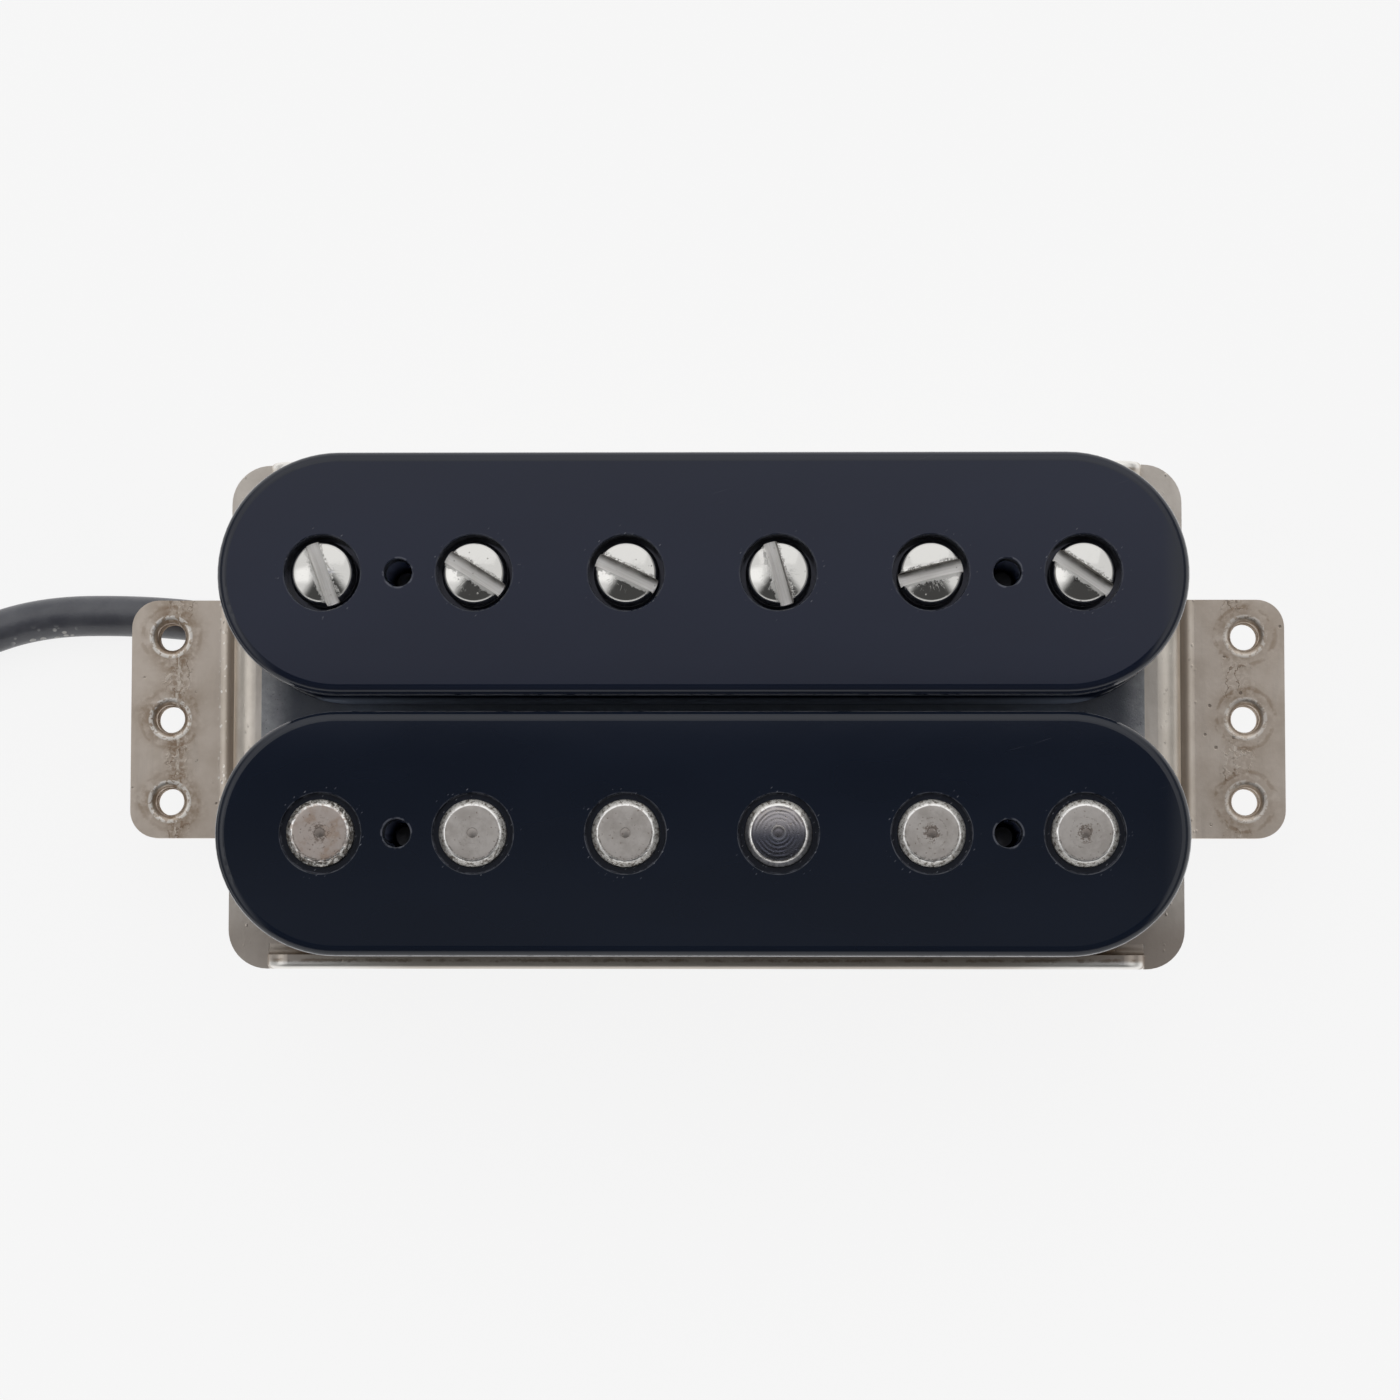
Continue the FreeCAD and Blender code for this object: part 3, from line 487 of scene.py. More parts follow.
def slotted(head, slot, *shank):
    """A screw: its head's shell less the block of its slot, with bevelled edges, and its shank's shells."""
    kept, tool = placed("head", outward(mesh_of("head", head))), placed("slot", mesh_of("slot", slot))
    cut = kept.modifiers.new("cut", "BOOLEAN")
    cut.operation = "DIFFERENCE"
    cut.solver = "EXACT"
    cut.object = tool
    bevel(kept, 0.03, 40)
    screw = bmesh.new()
    screw.from_mesh(solved(kept))
    screw.from_mesh(mesh_of("shank", *shank))
    for each in (kept, tool):
        bpy.data.objects.remove(each)
    mesh = bpy.data.meshes.new("screw")
    screw.to_mesh(mesh)
    screw.free()
    return mesh


def slot_outline(straight, radius, count):
    """Points spread evenly along the outline of a slot, from its upper right corner over its left end: how
    far along each is, its place on the line between the ends' middles, and the two parts of its way out."""
    half = math.pi * radius
    edges = np.cumsum([straight, half, straight, half])
    along = np.linspace(0, edges[-1], count, endpoint=False)
    reach, zero = straight / 2, 0 * along
    left, right = ((along - edges[number]) / half * math.pi for number in (0, 2))
    choose = [along < edge for edge in edges]
    base = np.select(choose, [reach - along, zero - reach, along - reach - edges[1], zero + reach])
    out_x = np.select(choose, [zero, -np.sin(left), zero, np.sin(right)])
    out_y = np.select(choose, [zero + 1, np.cos(left), zero - 1, -np.cos(right)])
    return along, base, out_x, out_y


def nickel_silver():
    """Formed sheet: warm pale metal with a soft grain. Its feet have brown tarnish, rings, a seam and cracks
    round the holes, and painted glints at the left bend and at the holes' mouths. Painted shade lies in the
    folds, in the bend above each foot and over the plate's front strip; dirt lies in a few pits. The flanges'
    upper edges carry a painted highlight outside and a brown line on top."""
    finish = Finish("nickel_silver", (0.70, 0.65, 0.58), 0.38, metallic=1.0)
    place = finish.place()
    x, y, z = finish.parts(place)
    blotch = finish.noise(place, 0.3, 5, 0.6)
    fine = finish.noise(place, 3.2, 4, 0.6)
    streak = finish.noise(place, 1.0, 4, 0.6, (0.9, 0.10, 0.5))
    wander = finish.noise(place, 0.55, 4, 0.65)
    mottled = blotch.between(0.35, 0.7)
    past_end = abs(x) - PLATE_END
    above_foot = z - FOOT_TOP

    foot = z.between(7.6, 6.8) * abs(x).between(34.6, 35.6)
    on_right = x.between(-1.0, 1.0)
    ring = diagonal(abs(x) - LEG_HOLE_X, y.nearest(LEG_HOLE_PITCH))
    stain = (ring + wander * 4.4 - 2.2).between(3.1, 1.4)
    stain = stain * finish.noise(place, 1.1, 4, 0.6).between(0.34, 0.62)
    arcs = (ring + wander * 0.9).near(2.6, 0.22, 0.05) * finish.noise(place, 0.9, 3).between(0.45, 0.55)
    along_foot = abs(abs(x) - 39.2 + wander * 1.6)
    band = along_foot.between(1.5, 0.5) * fine.between(0.4, 0.56)
    seam = abs(x + wander * 0.9 + 38.0)
    brown = stain * (0.80 - on_right * 0.34) + band * 0.25 + arcs * (0.25 + on_right * 0.15)
    brown = (brown + seam.between(0.75, 0.2) * fine.between(0.40, 0.56) * 0.35) * foot
    brown = brown.at_most(1.0)
    bent_place = finish.joined(x + wander * 3.0, y + fine * 1.2, z)
    crack = finish.cells(bent_place, 1.0, (1.25, 0.45, 1.0), "DISTANCE_TO_EDGE").between(0.06, 0.01)
    crack = crack * along_foot.between(1.3, 0.6) * foot * ring.between(1.8, 2.2)
    # Painted glints: pale specks along the left foot's bend and round the mouths of the feet's holes, fewer on
    # the right.
    painted_bend_glints = finish.cells(place, 2.0, (1.6, 1.1, 1.0)).between(0.34, 0.18)
    painted_bend_glints = painted_bend_glints * x.near(-PLATE_END - 1.05, 0.40, 0.14) * fine.between(0.42, 0.50)
    mouth = ring.near(1.43, 0.20, 0.08) * fine.between(0.43, 0.51) * foot * (0.9 - on_right * 0.3)

    # Painted shade: the plate's front strip and its flange are darkened, more towards the right.
    shaded = y.between(-12.5, -16.5) * (1.0 - foot) * (0.55 + x.between(-10.0, 10.0) * 0.3)
    # Painted shade: dark low in the fold at each end of the plate and in the bend above each foot.
    crease = past_end.between(0.75, 0.05) * above_foot.between(2.2, 0.6)
    painted_bend_shade = past_end.near(0.52, 0.52, 0.10) * above_foot.between(1.4, 0.9)
    pits = finish.cells(place, 0.62).between(0.10, 0.06) * wander.between(0.46, 0.52)
    # Painted highlight: a near-white band along the outer upper edge of each flange, strongest towards the
    # ends.
    outside = abs(y).between(17.45, 17.75) * z.between(11.0, 11.4) * (0.22 + abs(x).between(19.0, 27.5) * 0.7)
    lined = (abs(y) - fine * 0.3).near(17.35, 0.16, 0.05) * z.between(11.4, 11.8) * wander.between(0.40, 0.55)
    metal = finish.layered(
        finish.blend(mottled, (0.745, 0.69, 0.62), (0.635, 0.58, 0.515)),
        (foot, finish.blend(mottled, (0.71, 0.625, 0.54), (0.61, 0.525, 0.44))),
        (shaded, (0.42, 0.36, 0.31)),
        (streak.between(0.5, 0.72) * 0.3, (0.50, 0.44, 0.375)),
        (brown * 0.8, (0.285, 0.185, 0.11)),
        (seam.between(0.13, 0.05) * fine.between(0.46, 0.54) * foot * 0.6, (0.95, 0.89, 0.80)),
        (crack * wander.between(0.5, 0.44) * 0.35, (0.86, 0.80, 0.72)),
        (crack * wander.between(0.48, 0.54) * 0.7, (0.20, 0.13, 0.08)),
        (crease * 0.75, (0.16, 0.13, 0.10)),
        (painted_bend_shade * 0.8, (0.26, 0.205, 0.16)),
        (pits * 0.55, (0.09, 0.065, 0.05)),
        (outside, (0.97, 0.95, 0.91)),
        (lined * 0.6, (0.20, 0.145, 0.10)),
        (painted_bend_glints.at_least(mouth) * 0.85, (1.0, 0.97, 0.92)))

    bend = past_end.near(0.95, 0.5, 0.15) + past_end.near(-1.1, 0.6, 0.2)
    worn = finish.cells(place, 2.6, (1.0, 0.7, 1.0)).between(0.3, 0.1) * bend * wander.between(0.44, 0.5)
    dents = fine * 0.25 + streak * 0.3 + worn * 0.7 - pits * 0.5 + crack * 0.35
    finish.set(Metallic=1.0 - brown * 0.3 - crease * 0.3)
    return finish.dress(metal, 0.36 + fine * 0.1 + brown * 0.12, dents, 0.025)


def bobbin_plastic(name, colour, row, rim):
    """Glossy moulded plastic: a slight flow pattern, nicks, a worn rim round the holes of its poles with a
    painted highlight on it, painted light in the hollows, the bores and the gap between the bobbins, hairlines,
    a soft fall at its right end and a thin painted highlight along its outline."""
    finish = Finish(name, colour, 0.06)
    place = finish.place()
    x, y, z = finish.parts(place)
    below = BOBBIN_TOP - z
    flow = finish.noise(place, 0.2, 2, 0.5, (0.4, 0.9, 1.0))
    fine = finish.noise(place, 5.0, 2, 0.5)
    wander = finish.noise(place, 1.1, 3, 0.6)

    from_pole = diagonal(x.nearest(POLE_PITCH, POLE_PITCH / 2), y - row)
    hollow = from_pole.between(2.95, 2.8) * below.between(0.08, 0.2)
    # Painted highlight: a pale broken line on the rim round each pole hole and at each bore's lip; its
    # roughness and relief, and the nicks, are wear.
    worn = (from_pole + wander * 0.12).near(rim + 0.06, 0.09, 0.03) * wander.between(0.42, 0.58)
    nick = finish.cells(finish.joined(x + y, y - x, z), 0.8, (1.1, 3.6, 1.0)).between(0.16, 0.05)
    nick = nick * from_pole.between(3.5, 2.8) * fine.between(0.42, 0.52)
    marks = nick.at_least(worn * (0.15 if row > 0 else 0.35))
    past_bore = diagonal(abs(x) - FIXING_X, y - row) - FIXING_BORE
    bored = past_bore.between(0.03, -0.03) * below.between(0.03, 0.12)
    lip = past_bore.near(0.03, 0.09, 0.03) * wander.between(0.46, 0.56)
    # Painted light: the faces that look into the gap between the bobbins, below the top's rounded edge, are
    # made much paler.
    painted_gap_light = abs(y).between(1.1, 0.8) * below.between(0.7, 0.9)

    from_axis = diagonal((abs(x) - BOBBIN_STRAIGHT / 2).at_least(0.0), y - row)
    # Painted highlight: a thin pale line round the top flange's outline below its rounded edge, broken in
    # places and stronger on the outer sides.
    outline = below.inside(0.40, 0.44, 0.66, 0.72) * from_axis.near(BOBBIN_END, 0.4, 0.2)
    outline = outline * wander.between(0.30, 0.52) * ((abs(y) - abs(row)).between(-7.5, -5.0) * 0.5 + 0.35)
    slanted = finish.joined(x * 0.9 + y * 0.4, y - x * 0.3, z)
    hair = finish.noise(slanted, 1.3, 2, 0.6, (0.16, 4.0, 1.0)).between(0.73, 0.78)
    hair = hair * finish.noise(place, 0.12, 2).between(0.5, 0.6)
    tone = finish.layered(
        finish.blend(flow.between(0.3, 0.7), toned(colour, 0.94), toned(colour, 1.06)),
        # Painted light: the hollows round the poles and the bores are paler than the plastic, the bores' depths
        # far paler.
        (hollow, (0.095, 0.102, 0.132) if row > 0 else (0.022, 0.026, 0.039)),
        (bored, (0.075, 0.086, 0.112)),
        (bored * below.between(1.2, 2.2), (0.62, 0.68, 0.86)),
        # Painted light in the gap between the bobbins.
        (painted_gap_light, (0.20, 0.235, 0.31)),
        # Painted highlight on the pole rims and bore lips, over real nicks.
        (marks * 0.8 + lip * 0.4, (0.22, 0.23, 0.27)),
        (hair * 0.12, (0.12, 0.125, 0.15)),
        # Painted highlight along the outline.
        (outline, (0.42, 0.42, 0.45)))
    gloss = 0.055 + flow * 0.02 + marks * 0.3 + hair * 0.05 + outline * 0.2
    fall = ((x - 30.45) / 2.4).at_least(0.0)
    crown = finish.relief(1.0 - fall * fall, 0.16)
    return finish.dress(tone, gloss, flow * 0.5 + fine * 0.04 + marks * 0.6, 0.006, Normal=crown)


def bright_nickel():
    """Plated screw heads: bright domes with scratches that run outwards; ragged, burred edges along the slot
    and a pale floor, streaked along it, with a painted shade of its wall along one side."""
    plating = (0.74, 0.73, 0.705)
    finish = Finish("pole_screw_nickel", plating, 0.1, metallic=1.0)
    place = finish.place()
    x, _, z = finish.parts(place)
    along, across, _ = finish.parts(finish.map())
    ragged = finish.noise(place, 6.0, 4, 0.7)
    coarse = finish.noise(place, 1.3, 3, 0.6)
    lines = finish.noise(finish.map(), 1.0, 4, 0.6, (0.3, 8.0, 1.0))
    top = (BOBBIN_TOP - z).between(0.3, 0.1)
    edge = (abs(across) - coarse * 0.6 + 0.3).between(0.70, 0.50) * top
    burr = ragged.between(0.46, 0.6) * edge
    floor = abs(across).between(0.475, 0.45) * (1.0 - top)
    out = diagonal(along, across)
    rays = finish.noise(finish.joined(across.math("ARCTAN2", along) * 6.0, out * 0.35, coarse), 2.2, 3, 0.7)
    rays = rays.between(0.52, 0.66) * out.inside(0.5, 0.8, 1.2, 1.8) * coarse.between(0.46, 0.56)
    # Along the first and the fourth slot, which run nearly up and down the frame, that painted shade is
    # thinner.
    nearly_up = x.near(POLE_PITCH / 2, 3.0, 2.6) + x.between(-23.0, -23.4)
    # Painted shade: the floor is darkened unevenly along the wall on one side of the slot.
    wall = across.between(0.02, 0.44) * (coarse * 1.1 + 0.15)
    wall = wall * (1.0 - nearly_up * across.between(0.40, 0.34) * 0.8)
    flap = (across + ragged * 0.7 + coarse * 0.5).between(-0.12, -0.06) * across.between(-0.4, -0.5) * top
    pits = finish.cells(place, 2.4).between(0.16, 0.05) * coarse.between(0.50, 0.58)
    streaked = finish.blend(lines.between(0.36, 0.64), (0.90, 0.88, 0.85), (1.0, 0.985, 0.96))
    tone = finish.layered(
        plating,
        (floor, finish.blend(wall, streaked, (0.16, 0.145, 0.13))),
        (pits * 0.6, (0.25, 0.21, 0.18)),
        (burr * across.between(0.0, 0.2) * 0.5, (0.30, 0.27, 0.245)))
    rough = 0.09 + ragged * 0.04 + floor * 0.4 + edge * 0.06 + rays * 0.03 + flap * 0.4
    dents = burr * 0.8 + pits * 0.6 + lines * floor * 0.6 + rays * top * 0.12 + coarse * top * 0.14
    return finish.dress(tone, rough, dents, 0.03)


def turned_steel():
    """Slug faces: dull ground ends with rust specks, scars near the middle, a painted highlight ring at the
    face's edge with a painted dark line just inside it on the lower side, and a dirty chamfer. The fourth is
    turned bright, with grooves and a painted dark reflection over the lower part of its face and chamfer; the
    first is brown and chipped."""
    finish = Finish("slug_steel", (0.70, 0.67, 0.64), 0.45, metallic=1.0)
    place = finish.place()
    x, y, _ = finish.parts(finish.map())
    from_middle = diagonal(x, y)
    past_face = from_middle - SLUG_FACE
    where, _, _ = finish.parts(place)
    blotch = finish.noise(place, 0.9, 4, 0.6)
    fine = finish.noise(place, 9.0, 3, 0.6)
    grit = finish.noise(place, 4.5, 4, 0.7)

    bright = where.near(POLE_PITCH / 2, 3.4, 2.8)
    first = where.between(-22.0, -24.0)
    scarred = first.at_least(where.between(12.0, 14.0))
    face = past_face.between(0.05, 0.0)
    ring = past_face.inside(-0.02, 0.06, 0.12, 0.20)
    slope = past_face.between(0.12, 0.22)
    swirl = from_middle * 30.0 + blotch * 5.0 - bright * from_middle * 7.0
    grooves = swirl.math("SINE") * from_middle.between(0.5, 0.7) * blotch.between(0.30, 0.55)
    halo = from_middle.near(0.47, 0.07, 0.02) * bright
    specks = finish.cells(place, 2.6).between(0.24, 0.09) * fine.between(0.44, 0.54)
    scuff = finish.noise(place, 1.1, 4, 0.7, (2.2, 1.0, 1.0)).between(0.54, 0.66)
    scar = (grit - from_middle * 0.42).between(0.26, 0.34) * from_middle.between(0.80, 0.50) * scarred
    curl = (swirl * 0.6).math("SINE").between(0.3, 0.9) * grit.between(0.50, 0.58)
    curl = curl * from_middle.inside(0.3, 0.5, 0.9, 1.5) * (0.35 + scarred * 0.65)
    chipped = finish.noise(place, 3.0, 3, 0.6, (1.0, 1.0, 0.6)).between(0.47, 0.55) * first
    # Painted shade: a dark line just inside the face's edge, on the lower side only.
    lip = past_face.near(-0.05, 0.06, 0.02) * grit.between(0.46, 0.56) * y.between(1.2, -0.6)
    tone = finish.layered(
        finish.blend(blotch.between(0.35, 0.68), (0.60, 0.565, 0.535), (0.485, 0.45, 0.42)),
        (first * 0.6, (0.52, 0.435, 0.39)),
        (first * blotch.between(0.48, 0.62) * 0.5, (0.42, 0.30, 0.22)),
        (scuff * 0.35, (0.64, 0.61, 0.58)),
        (specks * 0.7, (0.20, 0.15, 0.12)),
        (scar * 0.75, (0.17, 0.13, 0.105)),
        (curl * 0.5, (0.24, 0.20, 0.175)),
        # Painted reflection: the bright slug's face turns a bluish dark on its lower side.
        (bright * face * y.between(1.0, -0.4) * 0.9, (0.13, 0.14, 0.175)),
        (from_middle.between(0.42, 0.30) * (0.55 - bright * 0.2), (0.25, 0.225, 0.21)),
        (slope, (0.86, 0.84, 0.80)),
        (slope * grit.between(0.50, 0.60), (0.22, 0.195, 0.17)),
        (slope * fine.between(0.44, 0.36) * 0.8, (0.30, 0.28, 0.25)),
        # Painted reflection: the same bluish dark on the lower side of the bright slug's chamfer.
        (slope * bright * y.between(1.7, 0.2) * 0.85, (0.13, 0.135, 0.155)),
        # Painted highlight: the ring at the face's edge is painted near white.
        (ring * grit.between(0.64, 0.52) * (1.0 - chipped * 0.8), (0.97, 0.96, 0.94)),
        (lip * 0.7, (0.12, 0.11, 0.10)),
        (chipped * slope * 0.8, (0.12, 0.10, 0.08)))
    gloss = 0.25 + face * (0.22 - bright * 0.30) + slope * 0.12 + fine * 0.06 + halo * 0.3
    wave = grooves * face * (0.02 + bright * (0.08 + blotch.between(0.42, 0.60) * 0.10)) + halo * 0.3
    dents = wave + fine * (0.22 - bright * 0.2) - specks * 0.4 - scar * 0.6 - curl * 0.3 + grit * slope * 1.6
    return finish.dress(tone, gloss.at_least(0.12), dents + chipped * slope * 3.0, 0.012)


def plain_steel(name, colour, roughness, grain=(0.3, 4.0, 4.0), depth=0.012):
    """Drawn or plated steel with grain along one way and a little tarnish."""
    finish = Finish(name, colour, roughness, metallic=1.0)
    place = finish.place()
    lines = finish.noise(place, 1.6, 4, 0.6, grain)
    blotch = finish.noise(place, 0.8, 4, 0.6)
    tone = finish.blend(blotch.between(0.35, 0.7), colour, toned(colour, 0.72))
    return finish.dress(tone, roughness - 0.06 + blotch * 0.16, lines, depth)


def magnet_bar():
    """A cast and ground bar: mid grey, mottled, with pale scratches and pores, and painted shade between the
    bobbins: darkest just inside their ends, a paler bluish grey in the middle.
    """
    finish = Finish("magnet", (0.30, 0.305, 0.32), 0.45, metallic=0.5)
    place = finish.place()
    x, _, _ = finish.parts(place)
    cloud = finish.noise(place, 1.1, 5, 0.65)
    grain = finish.noise(place, 9.0, 3, 0.6)
    pale = finish.cells(place, 1.2, (1.0, 2.2, 1.0)).between(0.2, 0.06) * cloud.between(0.46, 0.58)
    pores = finish.cells(place, 2.6, (1.3, 0.9, 1.1)).between(0.16, 0.05)
    tone = finish.layered(
        finish.blend(cloud.between(0.3, 0.7), (0.33, 0.337, 0.355), (0.47, 0.477, 0.495)),
        (pale * 0.7, (0.62, 0.62, 0.62)),
        (pores * 0.5, (0.11, 0.11, 0.115)),
        # Painted shade: the bar darkens inwards from the bobbins' ends, then turns a paler bluish grey over the
        # middle.
        (abs(x).between(31.4, 29.0) * 0.9, (0.075, 0.085, 0.108)),
        (abs(x).between(27.0, 24.0), (0.15, 0.175, 0.225)))
    return finish.dress(tone, 0.42 + grain * 0.16, grain * 0.4 + cloud * 0.3 - pores * 0.6, 0.04)


def strip_wood():
    """Maple strip: long grain along X with darker lines."""
    finish = Finish("spacer_wood", (0.55, 0.38, 0.22), 0.6)
    place = finish.place()
    grain = finish.noise(place, 1.2, 5, 0.65, (0.05, 0.9, 0.9), 0.8)
    pores = finish.noise(place, 1.5, 2, 0.6, (0.3, 6.0, 6.0)).between(0.62, 0.7)
    tone = finish.blend(grain.between(0.35, 0.68), (0.60, 0.42, 0.25), (0.40, 0.25, 0.13))
    tone = finish.blend(pores * 0.5, tone, (0.22, 0.13, 0.07))
    return finish.dress(tone, 0.55 + grain * 0.15, grain * 0.5 - pores * 0.5, 0.04)


def wound_wire():
    """Enamelled copper wire, wound level: fine lines across the height with crossings."""
    finish = Finish("coil_wire", (0.45, 0.16, 0.06), 0.3, metallic=0.7, coat=0.4)
    place = finish.place()
    _, _, z = finish.parts(place)
    slip = finish.noise(place, 1.2, 3, 0.5, (0.15, 0.15, 1.0))
    turns = (z * 70.0 + slip * 14.0).math("SINE")
    tone = finish.blend(slip.between(0.3, 0.7), (0.50, 0.18, 0.07), (0.33, 0.10, 0.04))
    return finish.dress(tone, 0.28 + slip * 0.14, turns * 0.5 + slip * 0.4, 0.03)


def cloth_tape():
    """Black cloth tape: a plain weave of two wave patterns in the tape's own millimetres, with frayed lint, and
    painted light where it faces the other winding."""
    finish = Finish("coil_tape", (0.014, 0.016, 0.021), 0.55, specular=0.4)
    place = finish.place()
    _, y, _ = finish.parts(place)
    u, v, _ = finish.parts(finish.map())
    weave = (u * 22.0).math("SINE") * (v * 22.0).math("SINE")
    lint = finish.noise(place, 2.4, 4, 0.7)
    tone = finish.layered(
        (0.016, 0.018, 0.024),
        (weave.between(-0.6, 0.9) * 0.6 + lint * 0.3, (0.055, 0.058, 0.070)),
        # Painted light: paler where the tape faces the other winding, in the gap.
        (abs(y).between(3.4, 2.6) * 0.8, (0.12, 0.14, 0.18)))
    return finish.dress(tone, 0.55 + lint * 0.2, weave * 0.5 + lint * 0.3, 0.05)


def jacket():
    """Satin dark grey cable jacket, scuffed, with pale dust low on its sides and crumbs beside the foot."""
    finish = Finish("cable_jacket", (0.045, 0.047, 0.058), 0.3, specular=0.8)
    place = finish.place()
    x, y, z = finish.parts(place)
    cloud = finish.noise(place, 0.5, 4, 0.6)
    fine = finish.noise(place, 5.0, 3, 0.6)
    dust = finish.cells(place, 1.3).between(0.22, 0.10) * cloud.between(0.44, 0.56) * z.between(2.4, 0.6)
    crumbs = finish.cells(place, 1.5).between(0.42, 0.30) * x.inside(-51.6, -50.8, -47.0, -46.4)
    dust = dust.at_least(crumbs * y.between(7.3, 6.9) * z.between(3.0, 2.4))
    tone = finish.blend(cloud.between(0.3, 0.7), (0.050, 0.053, 0.068), (0.085, 0.088, 0.104))
    tone = finish.blend(dust * 0.85, tone, (0.72, 0.71, 0.69))
    return finish.dress(tone, 0.24 + cloud * 0.14 + dust * 0.25, fine * 0.4 + cloud * 0.6, 0.05)


def insulation(name, colour):
    """Extruded wire insulation: even colour with a slight sheen and rub marks."""
    finish = Finish(name, colour, 0.35)
    rub = finish.noise(finish.place(), 1.6, 4, 0.6)
    tone = finish.blend(rub.between(0.35, 0.7), colour, toned(colour, 0.78))
    return finish.dress(tone, 0.3 + rub * 0.15, rub, 0.02)


def dull_plastic(name, colour, roughness):
    """Plain plastic with a fine grain."""
    finish = Finish(name, colour, roughness)
    grain = finish.noise(finish.place(), 4.0, 4, 0.6)
    tone = finish.blend(grain.between(0.3, 0.75), colour, toned(colour, 1.5, 0.004))
    return finish.dress(tone, roughness - 0.05 + grain * 0.12, grain, 0.02)


FINISHES = {finish.name: finish for finish in (
    nickel_silver(),
    magnet_bar(),
    plain_steel("keeper_steel", (0.50, 0.50, 0.51), 0.34),
    strip_wood(),
    # The screw bobbin's colour is a little paler than the slug bobbin's: painted light on one and the same
    # plastic.
    bobbin_plastic("screw_bobbin_plastic", (0.0092, 0.0134, 0.0282), ROW_PITCH / 2, 2.66),
    bobbin_plastic("slug_bobbin_plastic", (0.0072, 0.0117, 0.0240), -ROW_PITCH / 2, 2.76),
    wound_wire(),
    cloth_tape(),
    bright_nickel(),
    turned_steel(),
    plain_steel("fixing_screw_steel", (0.10, 0.10, 0.10), 0.4, (2.0, 2.0, 2.0)),
    jacket(),
    dull_plastic("tie_plastic", (0.018, 0.018, 0.019), 0.42),
    plain_steel("bare_wire", (0.76, 0.75, 0.72), 0.24, (3.0, 3.0, 3.0)),
    plain_steel("solder", (0.66, 0.66, 0.67), 0.26, (1.0, 1.0, 1.0), 0.04),
    insulation("red_insulation", (0.46, 0.016, 0.014)),
    insulation("white_insulation", (0.80, 0.79, 0.75)),
    insulation("green_insulation", (0.012, 0.20, 0.05)),
    insulation("black_insulation", (0.014, 0.014, 0.016)),
    dull_plastic("splice_sleeve", (0.015, 0.015, 0.016), 0.5),
)}


def dress_cad():
    """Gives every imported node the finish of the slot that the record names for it."""
    for part in frame["record"]["subparts"]:
        for slot in frame["nodes"][part["node"]].material_slots:
            slot.material = FINISHES[part["material_slot"]].material


def coil_route():
    """A flat spiral about the coil's centre: the radius falls by one pitch a turn, counter-clockwise from the
    top. Control points lie outside the line by 1 / cos(half the angle between them)."""
    turn = (np.arange(COIL_TURNS * COIL_POINTS) + 0.5) / COIL_POINTS
    radius = (COIL_FIRST - COIL_PITCH * turn) / math.cos(math.pi / COIL_POINTS)
    angle = math.pi / 2 + TAU * turn
    x, y, z = COIL_CENTRE
    spiral = zip(x + radius * np.cos(angle), y + radius * np.sin(angle), np.full(len(turn), z))
    return [tuple(float(part) for part in point) for point in spiral]


def make_lead():
    """The jacketed lead, hollow at both cut ends, and the points that it follows."""
    path = followed("lead", LEAD_ROUTE + coil_route() + COIL_TAIL)
    radius = np.full(len(path), CORD / 2)
    radius[[0, -1]] -= 0.08
    tube = swept(path, radius, 28, hollow=[(CORD / 2 - 0.25, -0.02), (CORD / 2 - 0.3, 0.9)])
    return piece("lead", mesh_of("lead", tube), "cable_jacket", ("cable", "cable_coil"), 50), path


def far_route(places, inside):
    """The route of a bared end: it starts some way inside the jacket's end and then follows the places."""
    route = [np.array(JACKET_END) + place for place in places]
    return [route[0] + [0, inside, 0], *route]


def make_wires():
    """Each conductor's two bared ends: insulation, twisted strands at the far tip, and the sleeve over its
    joint with a coil's wire. Gives the pieces that lie on the lead."""
    apart, rise, bared_length, splice_at, splice_length = 0.7, 1.3, 2.6, 4.0, 4.0
    on_lead = []
    for number, (colour, places) in enumerate(WIRE_ENDS.items()):
        angle = math.radians(45 + 90 * number)
        offset = np.array([math.cos(angle), math.sin(angle), 0]) * apart
        swing = math.asin((1.6 - abs(offset[1])) / 8)
        out = np.array([math.cos(swing), math.sin(swing), 0]) * np.sign(offset)
        root = LEAD_ROUTE[0] + offset
        bend = root + [0, 0, rise]
        near = followed(colour, [root - [0, 0, 0.8], root, bend, bend + out * (splice_at + 0.3)])
        far = followed(colour, far_route(places, 0.8))
        bared = int(np.argmin(abs(np.linalg.norm(far - far[-1], axis=1) - bared_length)))
        shells = [swept(near, WIRE / 2, 16), swept(far[:bared + 1], WIRE / 2, 16)]
        on_lead.append(piece(f"{colour}_wire", mesh_of(colour, *shells), f"{colour}_insulation",
                             (f"{colour}_conductor",), 50))
        strands = swept(far[bared - 2:], 0.24, 21, lay=3.2)
        on_lead.append(piece(f"{colour}_strands", mesh_of(colour, strands), "bare_wire", crease=60))
        step = np.linspace(0, splice_length, 13)
        size = 0.65 - 0.12 * np.exp(-(step / 0.35) ** 2) - 0.16 * np.exp(-((step - splice_length) / 0.5) ** 2)
        sleeve = swept(bend + out * (splice_at + step[:, None]), size, 20)
        piece(f"{colour}_sleeve", mesh_of(colour, sleeve), "splice_sleeve", (f"{colour}_splice",), 50)
    return on_lead


